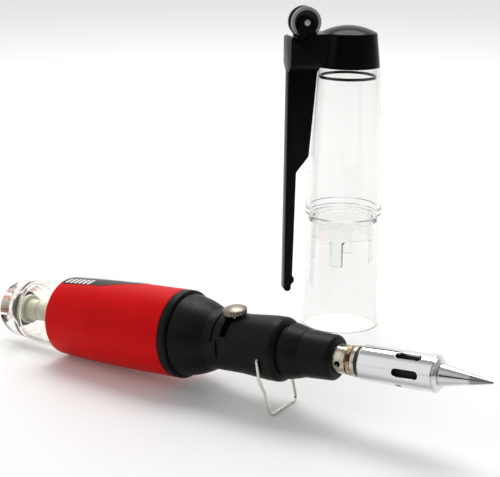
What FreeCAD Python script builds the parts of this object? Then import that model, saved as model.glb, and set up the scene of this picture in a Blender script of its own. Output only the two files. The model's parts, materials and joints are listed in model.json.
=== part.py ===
import FreeCAD, Part
import math
import os
from types import SimpleNamespace

import Sketcher

# A pen-size butane soldering torch with its cap. The torch lies on the rear edge of its grip and on its
# fold-down wire stand, and the cap stands upright on its open end behind it.
#
# Each sub-part is drawn in the coordinates of its own group, in millimetres:
#   torch: x runs along the axis to the tip, from the front face of the collar; y points away from the user's
#          side, and z up.
#   cap:   z runs up the cap's axis from its open rim, and x points to the clip.
# The groups are then placed in one frame: +X along the torch on the ground, +Z up, with the origin under the
# middle of the whole.

V = FreeCAD.Vector
PART_FOLDER = "parts"
LABEL_LIMIT = 60
TOUCH = 0.01
ALMOST_HALF_CIRCLE = 1.002
WIRE_SIDES = 8

# Driving dimensions: name, millimetres or degrees, what it is.
DIMENSIONS = (
    # How the two groups stand
    ("torch_tilt", 4.25, "degrees that the lying torch points up"),
    ("cap_along", 9.1, "cap axis ahead of the collar front"),
    ("cap_beside", 76.8, "cap axis beside the torch axis"),
    ("clip_turn", 227.0, "degrees from the torch direction to the clip"),
    # Fuel tank
    ("tank_front", -3.0, "front end of the tank"),
    ("tank_radius", 11.4, "tank outside, under the grip"),
    ("tank_bore", 9.9, "tank inside"),
    ("tank_bare", -50.0, "where the tank starts to narrow"),
    ("tank_shoulder", -66.5, "where the rounded end starts"),
    ("shoulder_radius", 9.3, "tank outside at that place"),
    ("tank_end", -74.6, "rear end of the tank"),
    ("end_radius", 4.3, "rim of the filling socket, outside"),
    ("socket_radius", 3.1, "filling socket"),
    ("socket_floor", -72.2, "floor of the filling socket"),
    ("tank_floor", -68.8, "inside face of the tank's thick end"),
    ("floor_radius", 6.6, "flat of that face"),
    ("side_bow", 140.0, "bow of the tank's tapered side"),
    ("end_bow", 7.4, "bow of the tank's rounded end"),
    ("rib_front", -62.2, "front of the rib inside the tank"),
    ("rib_width", 0.8, "width of that rib"),
    ("rib_radius", 8.2, "inside of that rib"),
    ("notch_width", 1.1, "grip notches in the rounded end"),
    ("notch_front", -67.2, "front of those notches"),
    ("notch_floor", 7.4, "floor of those notches, from the axis"),
    ("notch_count", 5, "number of grip notches"),
    ("notch_turn", 65.0, "degrees up from the user's side to the first notch"),
    # Tank closure
    ("plug_rear", -11.0, "rear face of the plug in the tank's mouth"),
    ("plug_radius", 9.8, "plug outside"),
    ("ring_groove_rear", -8.3, "groove of the plug's ring"),
    ("ring_groove_width", 2.2, "width of that groove"),
    ("ring_groove_floor", 8.3, "radius of that groove's floor"),
    ("ring_thickness", 0.78, "half the ring's thickness"),
    # Filler valve
    ("gasket_radius", 5.8, "filler gasket outside"),
    ("gasket_thickness", 1.8, "filler gasket thickness"),
    ("nose_radius", 2.6, "filler valve nose"),
    ("nose_end", -73.9, "rear end of that nose"),
    ("flange_radius", 4.3, "filler valve flange"),
    ("flange_length", 1.1, "length of that flange"),
    ("nut_radius", 4.8, "filler valve clamp ring"),
    ("nut_length", 1.3, "length of that ring"),
    ("filler_radius", 3.3, "filler valve tube"),
    ("filler_front", -38.0, "front end of the filler valve tube"),
    ("filler_line", -60.3, "turned line round that tube"),
    ("line_width", 0.4, "width of that line"),
    ("stem_bore", 1.3, "bore that guides the filler stem"),
    ("stem_radius", 1.22, "filler stem"),
    ("stem_end", -74.3, "rear end of the stem, closed"),
    ("chamber_rear", -69.5, "valve seat inside the filler valve"),
    ("chamber_radius", 2.2, "spring chamber"),
    ("washer_thickness", 0.6, "stem seal"),
    ("head_radius", 2.1, "stem head"),
    ("head_length", 1.5, "length of that head"),
    ("guide_radius", 1.0, "spring guide on the stem"),
    ("guide_length", 4.4, "length of that guide"),
    ("stem_duct", 0.45, "gas duct through the stem"),
    ("coil_radius", 1.55, "filler spring, to the middle of its wire"),
    ("coil_wire", 0.15, "filler spring's wire, radius"),
    ("coil_length", 9.4, "filler spring, between its seats"),
    ("coil_turns", 7, "turns of the filler spring"),
    ("seat_length", 1.4, "spring seat"),
    # Wick and filter
    ("wick_rear", -35.0, "rear end of the wick"),
    ("wick_radius", 1.2, "wick"),
    ("filter_radius", 2.15, "porous filter"),
    ("filter_length", 2.7, "length of that filter"),
    # Grip sleeve, its label and the collar
    ("sleeve_rear", -48.5, "rear edge of the grip"),
    ("sleeve_rear_radius", 12.4, "grip outside at its rear edge"),
    ("sleeve_full", -16.5, "where the grip reaches its full size"),
    ("grip_radius", 13.5, "full radius of grip, collar and cap rim"),
    ("sleeve_bow", 441.0, "bow of the grip's side"),
    ("sleeve_edge", 0.8, "rounding of the grip's rear edge"),
    ("joint_gap", 0.05, "space between pieces that slide together"),
    ("label_rear", -47.4, "rear end of the label"),
    ("label_front", -18.5, "front end of the label"),
    ("label_thickness", 0.08, "label film"),
    ("label_bend", -31.0, "where the label's near edge turns away"),
    ("label_start", 40.0, "degrees down from the far side to the label's far edge"),
    ("label_sweep", 70.0, "degrees that the label reaches round the grip"),
    ("collar_length", 2.8, "collar"),
    ("collar_round", 0.8, "rounding of the collar's front edge"),
    # Front housing
    ("cone_start", 0.1, "rear end of the cone"),
    ("cone_radius", 12.5, "cone outside at that end"),
    ("cone_end", 10.4, "front end of the cone"),
    ("cone_end_radius", 9.15, "cone outside at that end"),
    ("cone_bow", 26.0, "bow of the cone's side"),
    ("neck_start", 13.4, "rear end of the neck"),
    ("neck_end", 21.0, "front end of the neck"),
    ("neck_radius", 8.85, "neck outside"),
    ("barrel_start", 30.0, "where the barrel reaches its size"),
    ("barrel_radius", 9.5, "barrel outside"),
    ("barrel_end", 35.0, "front face of the barrel"),
    ("barrel_round", 2.0, "rounding of that face"),
    ("housing_mouth", 9.3, "inside of the housing at the collar"),
    ("housing_bore", 6.9, "inside of the neck and barrel"),
    ("bore_start", 12.0, "where that inside starts"),
    ("front_wall", 1.8, "front wall of the barrel"),
    ("front_hole", 4.3, "hole in that wall"),
    ("flat_half", 8.2, "half width across the flats beside the stand"),
    ("flat_rear", 15.0, "rear end of those flats"),
    ("flat_front", 32.0, "front end of those flats"),
    ("flat_top", 2.8, "top edge of those flats"),
    ("track_rear", 16.2, "slot that the gas lever runs in"),
    ("track_width", 2.4, "width of that slot"),
    ("track_start", 83.0, "degrees from the far side to the start of the slot"),
    ("track_sweep", 70.0, "degrees of that slot"),
    ("scale_line", 13.1, "moulded line beside the slot"),
    ("scale_width", 0.6, "width of that line"),
    ("scale_depth", 0.5, "depth of that line"),
    ("scale_start", 80.0, "degrees from the far side to its start"),
    ("scale_sweep", 88.0, "degrees of that line"),
    # Gas valve
    ("valve_rear", -11.0, "rear end of the gas valve"),
    ("valve_stub", 3.0, "stub in the plug"),
    ("valve_flange", 5.5, "flange against the plug"),
    ("valve_flange_end", -0.5, "front face of that flange"),
    ("valve_body_radius", 4.6, "valve body"),
    ("valve_body_end", 9.0, "front end of the valve body"),
    ("boss_radius", 3.3, "boss that the control ring turns on"),
    ("boss_end", 23.5, "front end of that boss"),
    ("feed_bore", 0.5, "gas duct to the valve seat"),
    ("seat_place", 7.0, "valve seat"),
    ("needle_bore", 1.0, "bore of the needle"),
    ("needle_radius", 0.95, "valve needle"),
    ("needle_rear", 7.6, "tip of the needle, closed"),
    ("needle_cone", 1.6, "length of the needle's cone"),
    ("needle_tip", 0.25, "radius of the needle's tip"),
    ("needle_front", 20.6, "front end of the needle"),
    ("needle_travel", 0.8, "lift of the needle"),
    ("pin_radius", 0.4, "cross pin"),
    ("pin_half", 4.8, "half the cross pin's length"),
    ("control_middle", 17.4, "middle of the control ring, lever and cross pin"),
    ("control_half", 2.8, "half the control ring's length"),
    ("control_radius", 6.2, "control ring outside"),
    ("control_bore", 3.36, "control ring inside"),
    ("cam_radius", 5.1, "groove that the cross pin runs in"),
    ("post_radius", 1.0, "lever post"),
    ("post_foot", 5.4, "foot of the post, from the axis"),
    ("lever_turn", 5.0, "degrees forward from upright to the lever, closed"),
    ("knob_base", 9.2, "underside of the knob, from the axis"),
    ("knob_height", 2.3, "knob"),
    ("knob_radius", 3.6, "knob outside"),
    ("knob_crown", 7.9, "bow of the knob's top"),
    ("knob_side", 1.5, "height of the knob's straight side"),
    ("knob_bevel", 0.45, "bevel of the knob's top edge"),
    ("knob_flat", 0.8, "flat in the middle of the knob's top"),
    ("knurl_count", 24, "grooves round the knob"),
    ("knurl_radius", 0.3, "radius of those grooves"),
    # Gas line, jet and burner tube
    ("line_bore", 0.6, "gas line inside"),
    ("line_radius", 1.2, "gas line outside"),
    ("holder_rear", 34.6, "rear end of the jet holder"),
    ("holder_front", 43.9, "front end of the jet holder"),
    ("holder_radius", 4.2, "jet holder and burner tube"),
    ("jet_radius", 1.5, "gas jet"),
    ("jet_rear", 41.0, "rear end of the jet"),
    ("jet_front", 46.0, "front end of the jet"),
    ("jet_orifice", 0.25, "bore of the jet's front"),
    ("tube_bore", 3.4, "burner tube inside"),
    ("tube_front", 60.2, "front end of the burner tube"),
    ("air_place", 53.1, "air holes"),
    ("air_radius", 0.95, "radius of an air hole"),
    ("air_count", 4, "number of air holes"),
    ("waist_rear", 55.2, "waist for the copper sealing coil"),
    ("waist_front", 57.0, "front of that waist"),
    ("waist_radius", 3.72, "radius of that waist"),
    ("copper_wire", 0.29, "copper coil's wire, radius"),
    ("copper_turns", 3, "rings of copper wire"),
    ("union_radius", 4.5, "union ring"),
    ("union_front", 58.4, "front face of the union ring"),
    ("tip_gasket_radius", 4.15, "dark gasket behind the tip body"),
    # Nose
    ("nose_ring_neck", 36.4, "front end of the nose ring's recessed part"),
    ("nose_ring_neck_radius", 7.5, "radius of that part"),
    ("nose_ring_radius", 8.35, "nose ring"),
    ("nose_ring_front", 41.5, "front face of the nose ring"),
    ("nose_ring_front_radius", 7.0, "nose ring at that face"),
    ("nose_ring_round", 0.5, "rounding of the nose ring"),
    ("nose_rear_radius", 6.9, "nose sleeve at the ring"),
    ("nose_front", 51.4, "front face of the nose sleeve"),
    ("nose_front_radius", 6.5, "nose sleeve at that face"),
    ("nose_round", 1.4, "rounding of that face"),
    # Tip body with its burner, and the soldering tip
    ("tip_rear", 59.2, "rear end of the tip body"),
    ("tip_rear_radius", 4.36, "tip body at that end"),
    ("tip_front", 81.9, "front end of the tip body"),
    ("tip_front_radius", 5.15, "tip body at that end"),
    ("tip_flare", 0.9, "length of the tip body's tapered rear end"),
    ("tip_flare_radius", 5.0, "tip body in front of that taper"),
    ("tip_bore_rear", 4.22, "tip body inside, round the burner tube"),
    ("tip_step", 60.2, "step inside the tip body"),
    ("tip_bore", 3.95, "tip body inside"),
    ("vent_rear", 70.4, "rear end of the exhaust slots"),
    ("vent_front", 78.2, "front end of the exhaust slots"),
    ("vent_half", 1.2, "half the width of a slot"),
    ("vent_count", 6, "number of exhaust slots"),
    ("vent_turn", 25.8, "degrees forward from upright to the first slot"),
    ("mesh_rear", 61.0, "flame mesh"),
    ("mesh_thickness", 0.6, "thickness of that mesh"),
    ("catalyst_rear", 68.6, "rear end of the catalyst"),
    ("catalyst_front", 78.0, "front end of the catalyst"),
    ("catalyst_radius", 3.4, "catalyst"),
    ("nut_hole", 2.6, "hole in the tip nut"),
    ("tip_nut_radius", 4.6, "tip nut"),
    ("tip_nut_front", 83.0, "front face of the tip nut"),
    ("tip_nut_chamfer", 0.7, "chamfer of the tip nut"),
    ("tip_nut_line", 0.3, "groove between tip body and nut"),
    ("collector_rear", 78.6, "heat collector of the soldering tip"),
    ("collector_radius", 3.7, "radius of that collector"),
    ("shank_radius", 2.55, "shank of the soldering tip"),
    ("point_base", 83.4, "base of the soldering tip's cone"),
    ("point_base_radius", 3.2, "radius of that base"),
    ("point_middle", 91.5, "where the plated working end starts"),
    ("point_middle_radius", 1.5, "radius there"),
    ("point_end", 97.8, "tip end"),
    ("point_end_radius", 0.35, "radius of the tip end"),
    # Wire stand
    ("stand_wire", 0.45, "radius of the stand's wire"),
    ("stand_pivot_x", 29.4, "stand pivot along the axis"),
    ("stand_pivot_z", -1.2, "stand pivot, from the axis"),
    ("stand_hole", 0.5, "radius of the pivot holes"),
    ("stand_pin_end", 7.0, "inner end of a pivot pin, from the middle"),
    ("stand_side", 8.75, "upper leg, from the middle"),
    ("stand_bend_x", 29.9, "upper end of the leg's offset"),
    ("stand_bend_z", -7.2, "upper end of the leg's offset"),
    ("stand_offset_x", 30.9, "lower end of the leg's offset"),
    ("stand_offset_y", 7.6, "lower leg, from the middle"),
    ("stand_offset_z", -11.0, "lower end of the leg's offset"),
    ("stand_foot_x", 32.2, "foot along the axis"),
    ("stand_foot_y", 7.3, "half the foot's length"),
    ("pin_bend", 0.7, "bend at the pivot"),
    ("leg_bend", 2.0, "bends of the leg's offset"),
    ("foot_bend", 1.5, "bends of the foot"),
    # Cap: clear tube and grip fingers
    ("rim_bore", 12.3, "inside of the cap's rim"),
    ("skirt_top", 39.6, "top of the skirt"),
    ("skirt_top_radius", 12.72, "skirt at that place"),
    ("band_radius", 13.15, "band round the cap"),
    ("band_top", 41.7, "top of that band"),
    ("upper_radius", 12.95, "upper tube above the band"),
    ("upper_bore", 11.75, "upper tube inside, at the band"),
    ("tube_top", 90.0, "top of the clear tube"),
    ("tube_top_radius", 10.66, "tube at that place"),
    ("tube_top_bore", 9.5, "tube inside, at that place"),
    ("tube_bow", 800.0, "bow of the tube's side"),
    ("finger_end", 22.9, "lower end of the grip fingers"),
    ("finger_root", 31.8, "upper end of the gaps between the fingers"),
    ("finger_bore", 9.55, "inside of the fingers"),
    ("finger_radius", 10.4, "outside of the fingers"),
    ("finger_gap", 11.3, "width of the gap between two fingers"),
    ("finger_corner", 1.3, "rounding of that gap's corners"),
    ("finger_turn", 16.4, "degrees that the fingers are turned from the clip"),
    ("finger_count", 4, "number of fingers"),
    ("insert_shelf", 37.4, "underside of the insert's flange"),
    ("insert_top", 39.0, "top of the insert's flange"),
    ("insert_radius", 11.72, "flange of the insert"),
    ("seal_bottom", 85.9, "seal ring inside the tube"),
    ("seal_height", 1.4, "height of that ring"),
    ("seal_bore", 8.6, "inside of that ring"),
    ("seal_radius", 9.6, "outside of that ring"),
    # Cap: top with its boss
    ("top_edge", 101.2, "upper edge of the cap top"),
    ("top_radius", 9.35, "cap top at that edge"),
    ("top_round", 0.7, "rounding of that edge"),
    ("crown_height", 103.5, "middle of the cap top"),
    ("hollow_top", 99.6, "ceiling inside the cap top"),
    ("hollow_bore", 8.7, "inside of the cap top, at the tube"),
    ("hollow_ceiling", 5.5, "radius of that ceiling"),
    ("boss_back", 7.0, "inner end of the boss"),
    ("boss_width", 9.6, "width of the boss"),
    ("boss_bottom", 88.7, "underside of the boss"),
    ("boss_inside", 10.95, "inner face of the boss below the cap top"),
    ("clip_outside", 21.1, "outer face of boss and clip"),
    ("boss_wall", 19.8, "inner face of the boss's outer wall"),
    ("boss_corner", 100.2, "top of that wall"),
    ("notch_bottom", 98.4, "bottom of the spark notch"),
    ("notch_inside", 18.4, "inner edge of the spark notch"),
    ("scoop_start", 15.0, "where the boss's top curves down"),
    ("scoop_bow", 4.4, "bow of that curve"),
    ("boss_top", 101.3, "top of the boss"),
    # Cap: spark wheel
    ("wheel_place", 15.5, "wheel axis from the cap axis"),
    ("wheel_height", 104.8, "height of the wheel axis"),
    ("wheel_well", 5.6, "radius of the well that the wheel turns in"),
    ("well_half", 2.75, "half the width of that well"),
    ("cheek_half", 2.9, "half the width of a fork cheek"),
    ("fork_width", 7.4, "both cheeks and the gap between them"),
    ("cheek_foot", 98.0, "foot of the fork cheeks"),
    ("axle_radius", 1.1, "wheel axle"),
    ("axle_half", 3.7, "half the axle's length"),
    ("wheel_bore", 1.15, "bore of the wheels"),
    ("disc_radius", 5.2, "thumb wheel"),
    ("disc_inner", 1.5, "inner face of a thumb wheel, from the middle"),
    ("disc_outer", 2.6, "outer face of a thumb wheel, from the middle"),
    ("disc_dish", 0.45, "dish in a thumb wheel's outer face"),
    ("dish_radius", 3.9, "radius of that dish"),
    ("disc_bevel", 0.4, "bevel of a thumb wheel's rim"),
    ("disc_teeth", 36, "grooves round a thumb wheel"),
    ("disc_tooth", 0.22, "radius of those grooves"),
    ("spark_radius", 4.4, "spark wheel"),
    ("spark_half", 1.45, "half the spark wheel's width"),
    ("spark_teeth", 20, "teeth of the spark wheel"),
    ("spark_tooth", 0.32, "radius of the grooves between those teeth"),
    # Cap: clip with the flint tube
    ("clip_width", 4.0, "clip"),
    ("clip_bottom", 12.2, "lower end of the clip"),
    ("clip_corner", 14.0, "where that end starts to round"),
    ("clip_end_inside", 18.6, "inner side of the clip's end"),
    ("nib_bottom", 15.2, "lower end of the clip's nib"),
    ("nib_top", 18.4, "upper end of the nib"),
    ("nib_reach", 17.6, "inner side of the nib"),
    ("clip_lower_inside", 18.25, "inner side of the clip above the nib"),
    ("clip_neck", 54.6, "where the clip widens"),
    ("clip_neck_inside", 17.7, "inner side of the clip at that place"),
    ("web_bottom", 60.0, "lower end of the wide web"),
    ("web_bottom_inside", 13.45, "inner side of the web at that place"),
    ("web_top_inside", 11.15, "inner side of the web at the boss"),
    ("flint_bore", 1.3, "flint tube"),
    ("flint_radius", 1.2, "flint"),
    ("flint_bottom", 93.6, "lower end of the flint"),
    ("flint_top", 100.3, "upper end of the flint"),
    ("flint_coil", 0.95, "flint spring, to the middle of its wire"),
    ("flint_wire", 0.14, "flint spring's wire, radius"),
    ("flint_turns", 12, "turns of the flint spring"),
    ("screw_top", 71.5, "upper end of the flint screw"),
    ("screw_bottom", 63.0, "lower end of the flint screw"),
    ("screw_slot", 0.5, "driver slot of the flint screw"),
    ("screw_slot_depth", 0.9, "depth of that slot"),
)

doc = FreeCAD.newDocument("butane_torch")
parts = []


class Size:
    """A number from the sheet, or a sum of such numbers, with the expression that binds a property to it."""

    def __init__(self, value, text):
        self.value = value
        self.text = text

    def __add__(self, other):
        return Size(self.value + plain(other), f"({self.text} + {spelled(other)})")

    def __sub__(self, other):
        return Size(self.value - plain(other), f"({self.text} - {spelled(other)})")

    def __mul__(self, factor):
        return Size(self.value * factor, f"({self.text} * {factor})")

    def __neg__(self):
        return Size(-self.value, f"(0 - {self.text})")


def plain(size):
    return size.value if isinstance(size, Size) else size


def spelled(size):
    return size.text if isinstance(size, Size) else repr(size)


def make_sheet():
    """The spreadsheet of driving dimensions, and their sizes by name."""
    sheet = doc.addObject("Spreadsheet::Sheet", "Sizes")
    sizes = {}
    for row, (alias, value, meaning) in enumerate(DIMENSIONS, 1):
        sheet.set(f"A{row}", meaning)
        sheet.set(f"B{row}", str(value))
        sheet.setAlias(f"B{row}", alias)
        sizes[alias] = Size(value, f"Sizes.{alias}")
    doc.recompute()
    return SimpleNamespace(**sizes)


d = make_sheet()


# ---- Helpers that make features -----------------------------------------------------------------------------


def bind(item, name, size):
    """Sets a property, and binds it to the sheet if its size comes from there."""
    if "." not in name:
        setattr(item, name, plain(size))
    if isinstance(size, Size):
        item.setExpression(name, size.text)


def place(item, x, y, z, turn=None):
    """Puts a feature at a point of its group, turned as asked, with the point bound to the sheet."""
    item.Placement = FreeCAD.Placement(V(plain(x), plain(y), plain(z)), turn or FreeCAD.Rotation())
    for axis, size in (("x", x), ("y", y), ("z", z)):
        bind(item, f"Placement.Base.{axis}", size)


def origin_feature(body, role):
    return next(feature for feature in body.Origin.OriginFeatures if feature.Role == role)


def side_of(here, there, bow):
    """A straight side, or an arc of radius bow that bulges to the left of the way there, or right if negative."""
    if bow is None:
        return Part.LineSegment(here, there)
    chord = there - here
    rise = abs(bow) - math.sqrt(max(0, bow * bow - chord.Length**2 / 4))
    left = V(-chord.y, chord.x, 0).normalize()
    middle = (here + there) * 0.5 + left * math.copysign(rise, bow)
    return Part.Arc(here, middle, there) if bow < 0 else Part.Arc(there, middle, here)


def pin_coordinate(sketch, kind, corner, size):
    """Holds a corner's distance from an axis of the sketch."""
    if not isinstance(size, Size) and size == 0:
        axis = -2 if kind == "DistanceX" else -1
        sketch.addConstraint(Sketcher.Constraint("PointOnObject", *corner, axis))
        return
    held = sketch.addConstraint(Sketcher.Constraint(kind, -1, 1, *corner, plain(size)))
    if isinstance(size, Size):
        sketch.setExpression(f"Constraints[{held}]", size.text)


def draw(body, plane, outline, turn=0):
    """A closed sketch on an origin plane of the body, turned about its own first axis. A corner is (across, up),
    and a third entry bows the side that follows it. The corners run anticlockwise or clockwise alike."""
    sketch = body.newObject("Sketcher::SketchObject", "Outline")
    sketch.AttachmentSupport = [(origin_feature(body, plane), "")]
    sketch.MapMode = "FlatFace"
    sketch.AttachmentOffset = FreeCAD.Placement(V(), FreeCAD.Rotation(V(1, 0, 0), plain(turn)))
    if isinstance(turn, Size):
        sketch.setExpression("AttachmentOffset.Rotation.Angle", turn.text)
    points = [V(plain(corner[0]), plain(corner[1]), 0) for corner in outline]
    starts, ends = [], []
    for number, corner in enumerate(outline):
        here, there = points[number], points[(number + 1) % len(points)]
        bow = corner[2] if len(corner) > 2 else None
        side = sketch.addGeometry(side_of(here, there, None if bow is None else plain(bow)), False)
        forward = (sketch.Geometry[side].StartPoint - here).Length < TOUCH
        starts.append((side, 1 if forward else 2))
        ends.append((side, 2 if forward else 1))
        if isinstance(bow, Size):
            held = sketch.addConstraint(Sketcher.Constraint("Radius", side, abs(plain(bow))))
            sketch.setExpression(f"Constraints[{held}]", f"abs({bow.text})")
    for number, corner in enumerate(outline):
        sketch.addConstraint(Sketcher.Constraint("Coincident", *ends[number - 1], *starts[number]))
        pin_coordinate(sketch, "DistanceX", starts[number], corner[0])
        pin_coordinate(sketch, "DistanceY", starts[number], corner[1])
    return sketch


def new_body(label):
    body = doc.addObject("PartDesign::Body", label)
    body.Label = label
    return body


def turned(body, outline, axis="X", sweep=360, start=0):
    """A solid of revolution. About X the outline is (x, radius), and about Z it is (radius, z)."""
    plane, line = ("XY_Plane", "H_Axis") if axis == "X" else ("XZ_Plane", "V_Axis")
    sketch = draw(body, plane, outline, start)
    turn = body.newObject("PartDesign::Revolution", "Turned")
    turn.Profile = sketch
    turn.ReferenceAxis = (sketch, [line])
    bind(turn, "Angle", sweep)
    doc.recompute()
    return turn


def grooved(body, outline, sweep=360, start=0):
    """Cuts a groove of that outline, (x, radius), round the X axis."""
    before = body.Shape.Volume
    sketch = draw(body, "XY_Plane", outline, start)
    groove = body.newObject("PartDesign::Groove", "Grooved")
    groove.Profile = sketch
    groove.ReferenceAxis = (sketch, ["H_Axis"])
    bind(groove, "Angle", sweep)
    doc.recompute()
    check_cut(body, before)
    return groove


def padded(body, plane, outline, width):
    """An outline made thick, half to each side of its plane."""
    sketch = draw(body, plane, outline)
    pad = body.newObject("PartDesign::Pad", "Padded")
    pad.Profile = sketch
    pad.SideType = "Symmetric"
    bind(pad, "Length", width)
    doc.recompute()
    return pad


def pocketed(body, plane, outline, depth, turn=0):
    """Cuts an outline along its plane's normal."""
    before = body.Shape.Volume
    sketch = draw(body, plane, outline, turn)
    pocket = body.newObject("PartDesign::Pocket", "Pocketed")
    pocket.Profile = sketch
    pocket.SideType = "One side"
    pocket.Reversed = True
    bind(pocket, "Length", depth)
    doc.recompute()
    check_cut(body, before)
    return pocket


def drilled(body, radius, length, x, y, z, turn=None):
    """Cuts a cylinder that starts at a point and runs along Z, or along Z turned as asked."""
    before = body.Shape.Volume
    hole = body.newObject("PartDesign::SubtractiveCylinder", "Drilled")
    bind(hole, "Radius", radius)
    bind(hole, "Height", length)
    place(hole, x, y, z, turn)
    doc.recompute()
    check_cut(body, before)
    return hole


def milled(body, length, width, height, x, y, z, turn=None):
    """Cuts a box from its lowest corner."""
    before = body.Shape.Volume
    box = body.newObject("PartDesign::SubtractiveBox", "Milled")
    bind(box, "Length", length)
    bind(box, "Width", width)
    bind(box, "Height", height)
    place(box, x, y, z, turn)
    doc.recompute()
    check_cut(body, before)
    return box


def repeated(body, feature, count, axis="X_Axis"):
    """Repeats the last cut round an axis of the body."""
    pattern = body.newObject("PartDesign::PolarPattern", "Repeated")
    pattern.Originals = [feature]
    pattern.Axis = (origin_feature(body, axis), [""])
    pattern.Angle = 360
    bind(pattern, "Occurrences", count)
    body.Tip = pattern
    doc.recompute()
    return pattern


def circle_names(shape, places, axis):
    """The names of the circular edges at the given (place along the axis, radius)."""
    names = []
    for number, edge in enumerate(shape.Edges, 1):
        if edge.Degenerated or not isinstance(edge.Curve, Part.Circle):
            continue
        along = edge.Curve.Center.x if axis == "X" else edge.Curve.Center.z
        for at, radius in places:
            if abs(along - plain(at)) < TOUCH and abs(edge.Curve.Radius - plain(radius)) < TOUCH:
                names.append(f"Edge{number}")
    return names


def rounded(body, radius, places, axis="X"):
    """Rounds circular edges, found by their place along the axis and their radius."""
    base = body.Tip
    fillet = body.newObject("PartDesign::Fillet", "Rounded")
    fillet.Base = (base, circle_names(base.Shape, places, axis))
    bind(fillet, "Radius", radius)
    doc.recompute()
    return fillet


def chamfered(body, length, places, axis="X"):
    """Chamfers circular edges, found by their place along the axis and their radius."""
    base = body.Tip
    chamfer = body.newObject("PartDesign::Chamfer", "Chamfered")
    chamfer.Base = (base, circle_names(base.Shape, places, axis))
    bind(chamfer, "Size", length)
    doc.recompute()
    return chamfer


def check_cut(body, before):
    if body.Shape.Volume >= before - 1e-6:
        raise RuntimeError(f"a cut in {body.Label} removes nothing")


def ring(body, rear, front, bore, radius):
    """A plain ring or, with a bore of 0, a plain cylinder about X."""
    turned(body, [(rear, bore), (front, bore), (front, radius), (rear, radius)])


def coil(radius, wire, length, turns):
    """A helical spring along Z, from 0 to length, with its wire ends inside that length. Its fine wire is
    drawn with flat sides, which keep their shape however coarsely they are meshed."""
    rise = length - 2 * wire
    helix = Part.makeHelix(rise / turns, rise, radius)
    helix.translate(V(0, 0, wire))
    across = V(1, 0, 0)
    above = across.cross(V(0, 1, rise / turns / (2 * math.pi * radius))).normalize()
    corners = []
    for number in range(WIRE_SIDES):
        turn = 2 * math.pi * number / WIRE_SIDES
        corners.append(V(radius, 0, wire) + across * (wire * math.cos(turn)) + above * (wire * math.sin(turn)))
    section = Part.makePolygon([*corners, corners[0]])
    return Part.Wire(helix).makePipeShell([section], True, True)


def keep(item, group, local=None):
    """Lists a finished sub-part with its group and its place in that group."""
    parts.append((item, group, local or FreeCAD.Placement()))
    return item


def keep_shape(label, shape, group, local=None):
    """A sub-part whose shape comes from Part's own functions."""
    feature = doc.addObject("Part::Feature", label)
    feature.Label = label
    feature.Shape = shape
    return keep(feature, group, local)


# ---- Fuel tank and its filler valve -------------------------------------------------------------------------


def make_fuel_tank():
    body = new_body("fuel_tank")
    rib_rear = d.rib_front - d.rib_width
    turned(
        body,
        [
            (d.tank_front, d.tank_bore),
            (d.tank_front, d.tank_radius),
            (d.tank_bare, d.tank_radius, -d.side_bow),
            (d.tank_shoulder, d.shoulder_radius, -d.end_bow),
            (d.tank_end, d.end_radius),
            (d.tank_end, d.socket_radius),
            (d.socket_floor, d.socket_radius),
            (d.socket_floor, d.nose_radius + d.joint_gap),
            (d.tank_floor, d.nose_radius + d.joint_gap),
            (d.tank_floor, d.floor_radius),
            (rib_rear, d.rib_radius + 0.5),
            (rib_rear, d.rib_radius),
            (d.rib_front, d.rib_radius),
            (d.rib_front, d.rib_radius + 0.7),
            (d.tank_bare, d.tank_bore),
        ],
    )
    turn = FreeCAD.Rotation(V(1, 0, 0), 90 - d.notch_turn.value)
    start = turn.multVec(V(0, -d.notch_width.value / 2, d.notch_floor.value))
    notch = milled(body, 12, d.notch_width, 5, d.notch_front - 12, start.y, start.z, turn)
    repeated(body, notch, d.notch_count)
    keep(body, "torch")


def make_tank_plug():
    body = new_body("tank_plug")
    groove_front = d.ring_groove_rear + d.ring_groove_width
    turned(
        body,
        [
            (d.plug_rear, d.valve_stub + d.joint_gap),
            (d.tank_front, d.valve_stub + d.joint_gap),
            (d.tank_front, d.plug_radius),
            (groove_front, d.plug_radius),
            (groove_front, d.ring_groove_floor),
            (d.ring_groove_rear, d.ring_groove_floor),
            (d.ring_groove_rear, d.plug_radius),
            (d.plug_rear, d.plug_radius),
        ],
    )
    keep(body, "torch")


def make_tank_seal_ring():
    seal = doc.addObject("Part::Torus", "tank_seal_ring")
    bind(seal, "Radius1", d.ring_groove_floor + d.ring_thickness + 0.02)
    bind(seal, "Radius2", d.ring_thickness)
    middle = d.ring_groove_rear + d.ring_groove_width * 0.5
    keep(seal, "torch", FreeCAD.Placement(V(middle.value, 0, 0), FreeCAD.Rotation(V(0, 1, 0), 90)))


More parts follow.
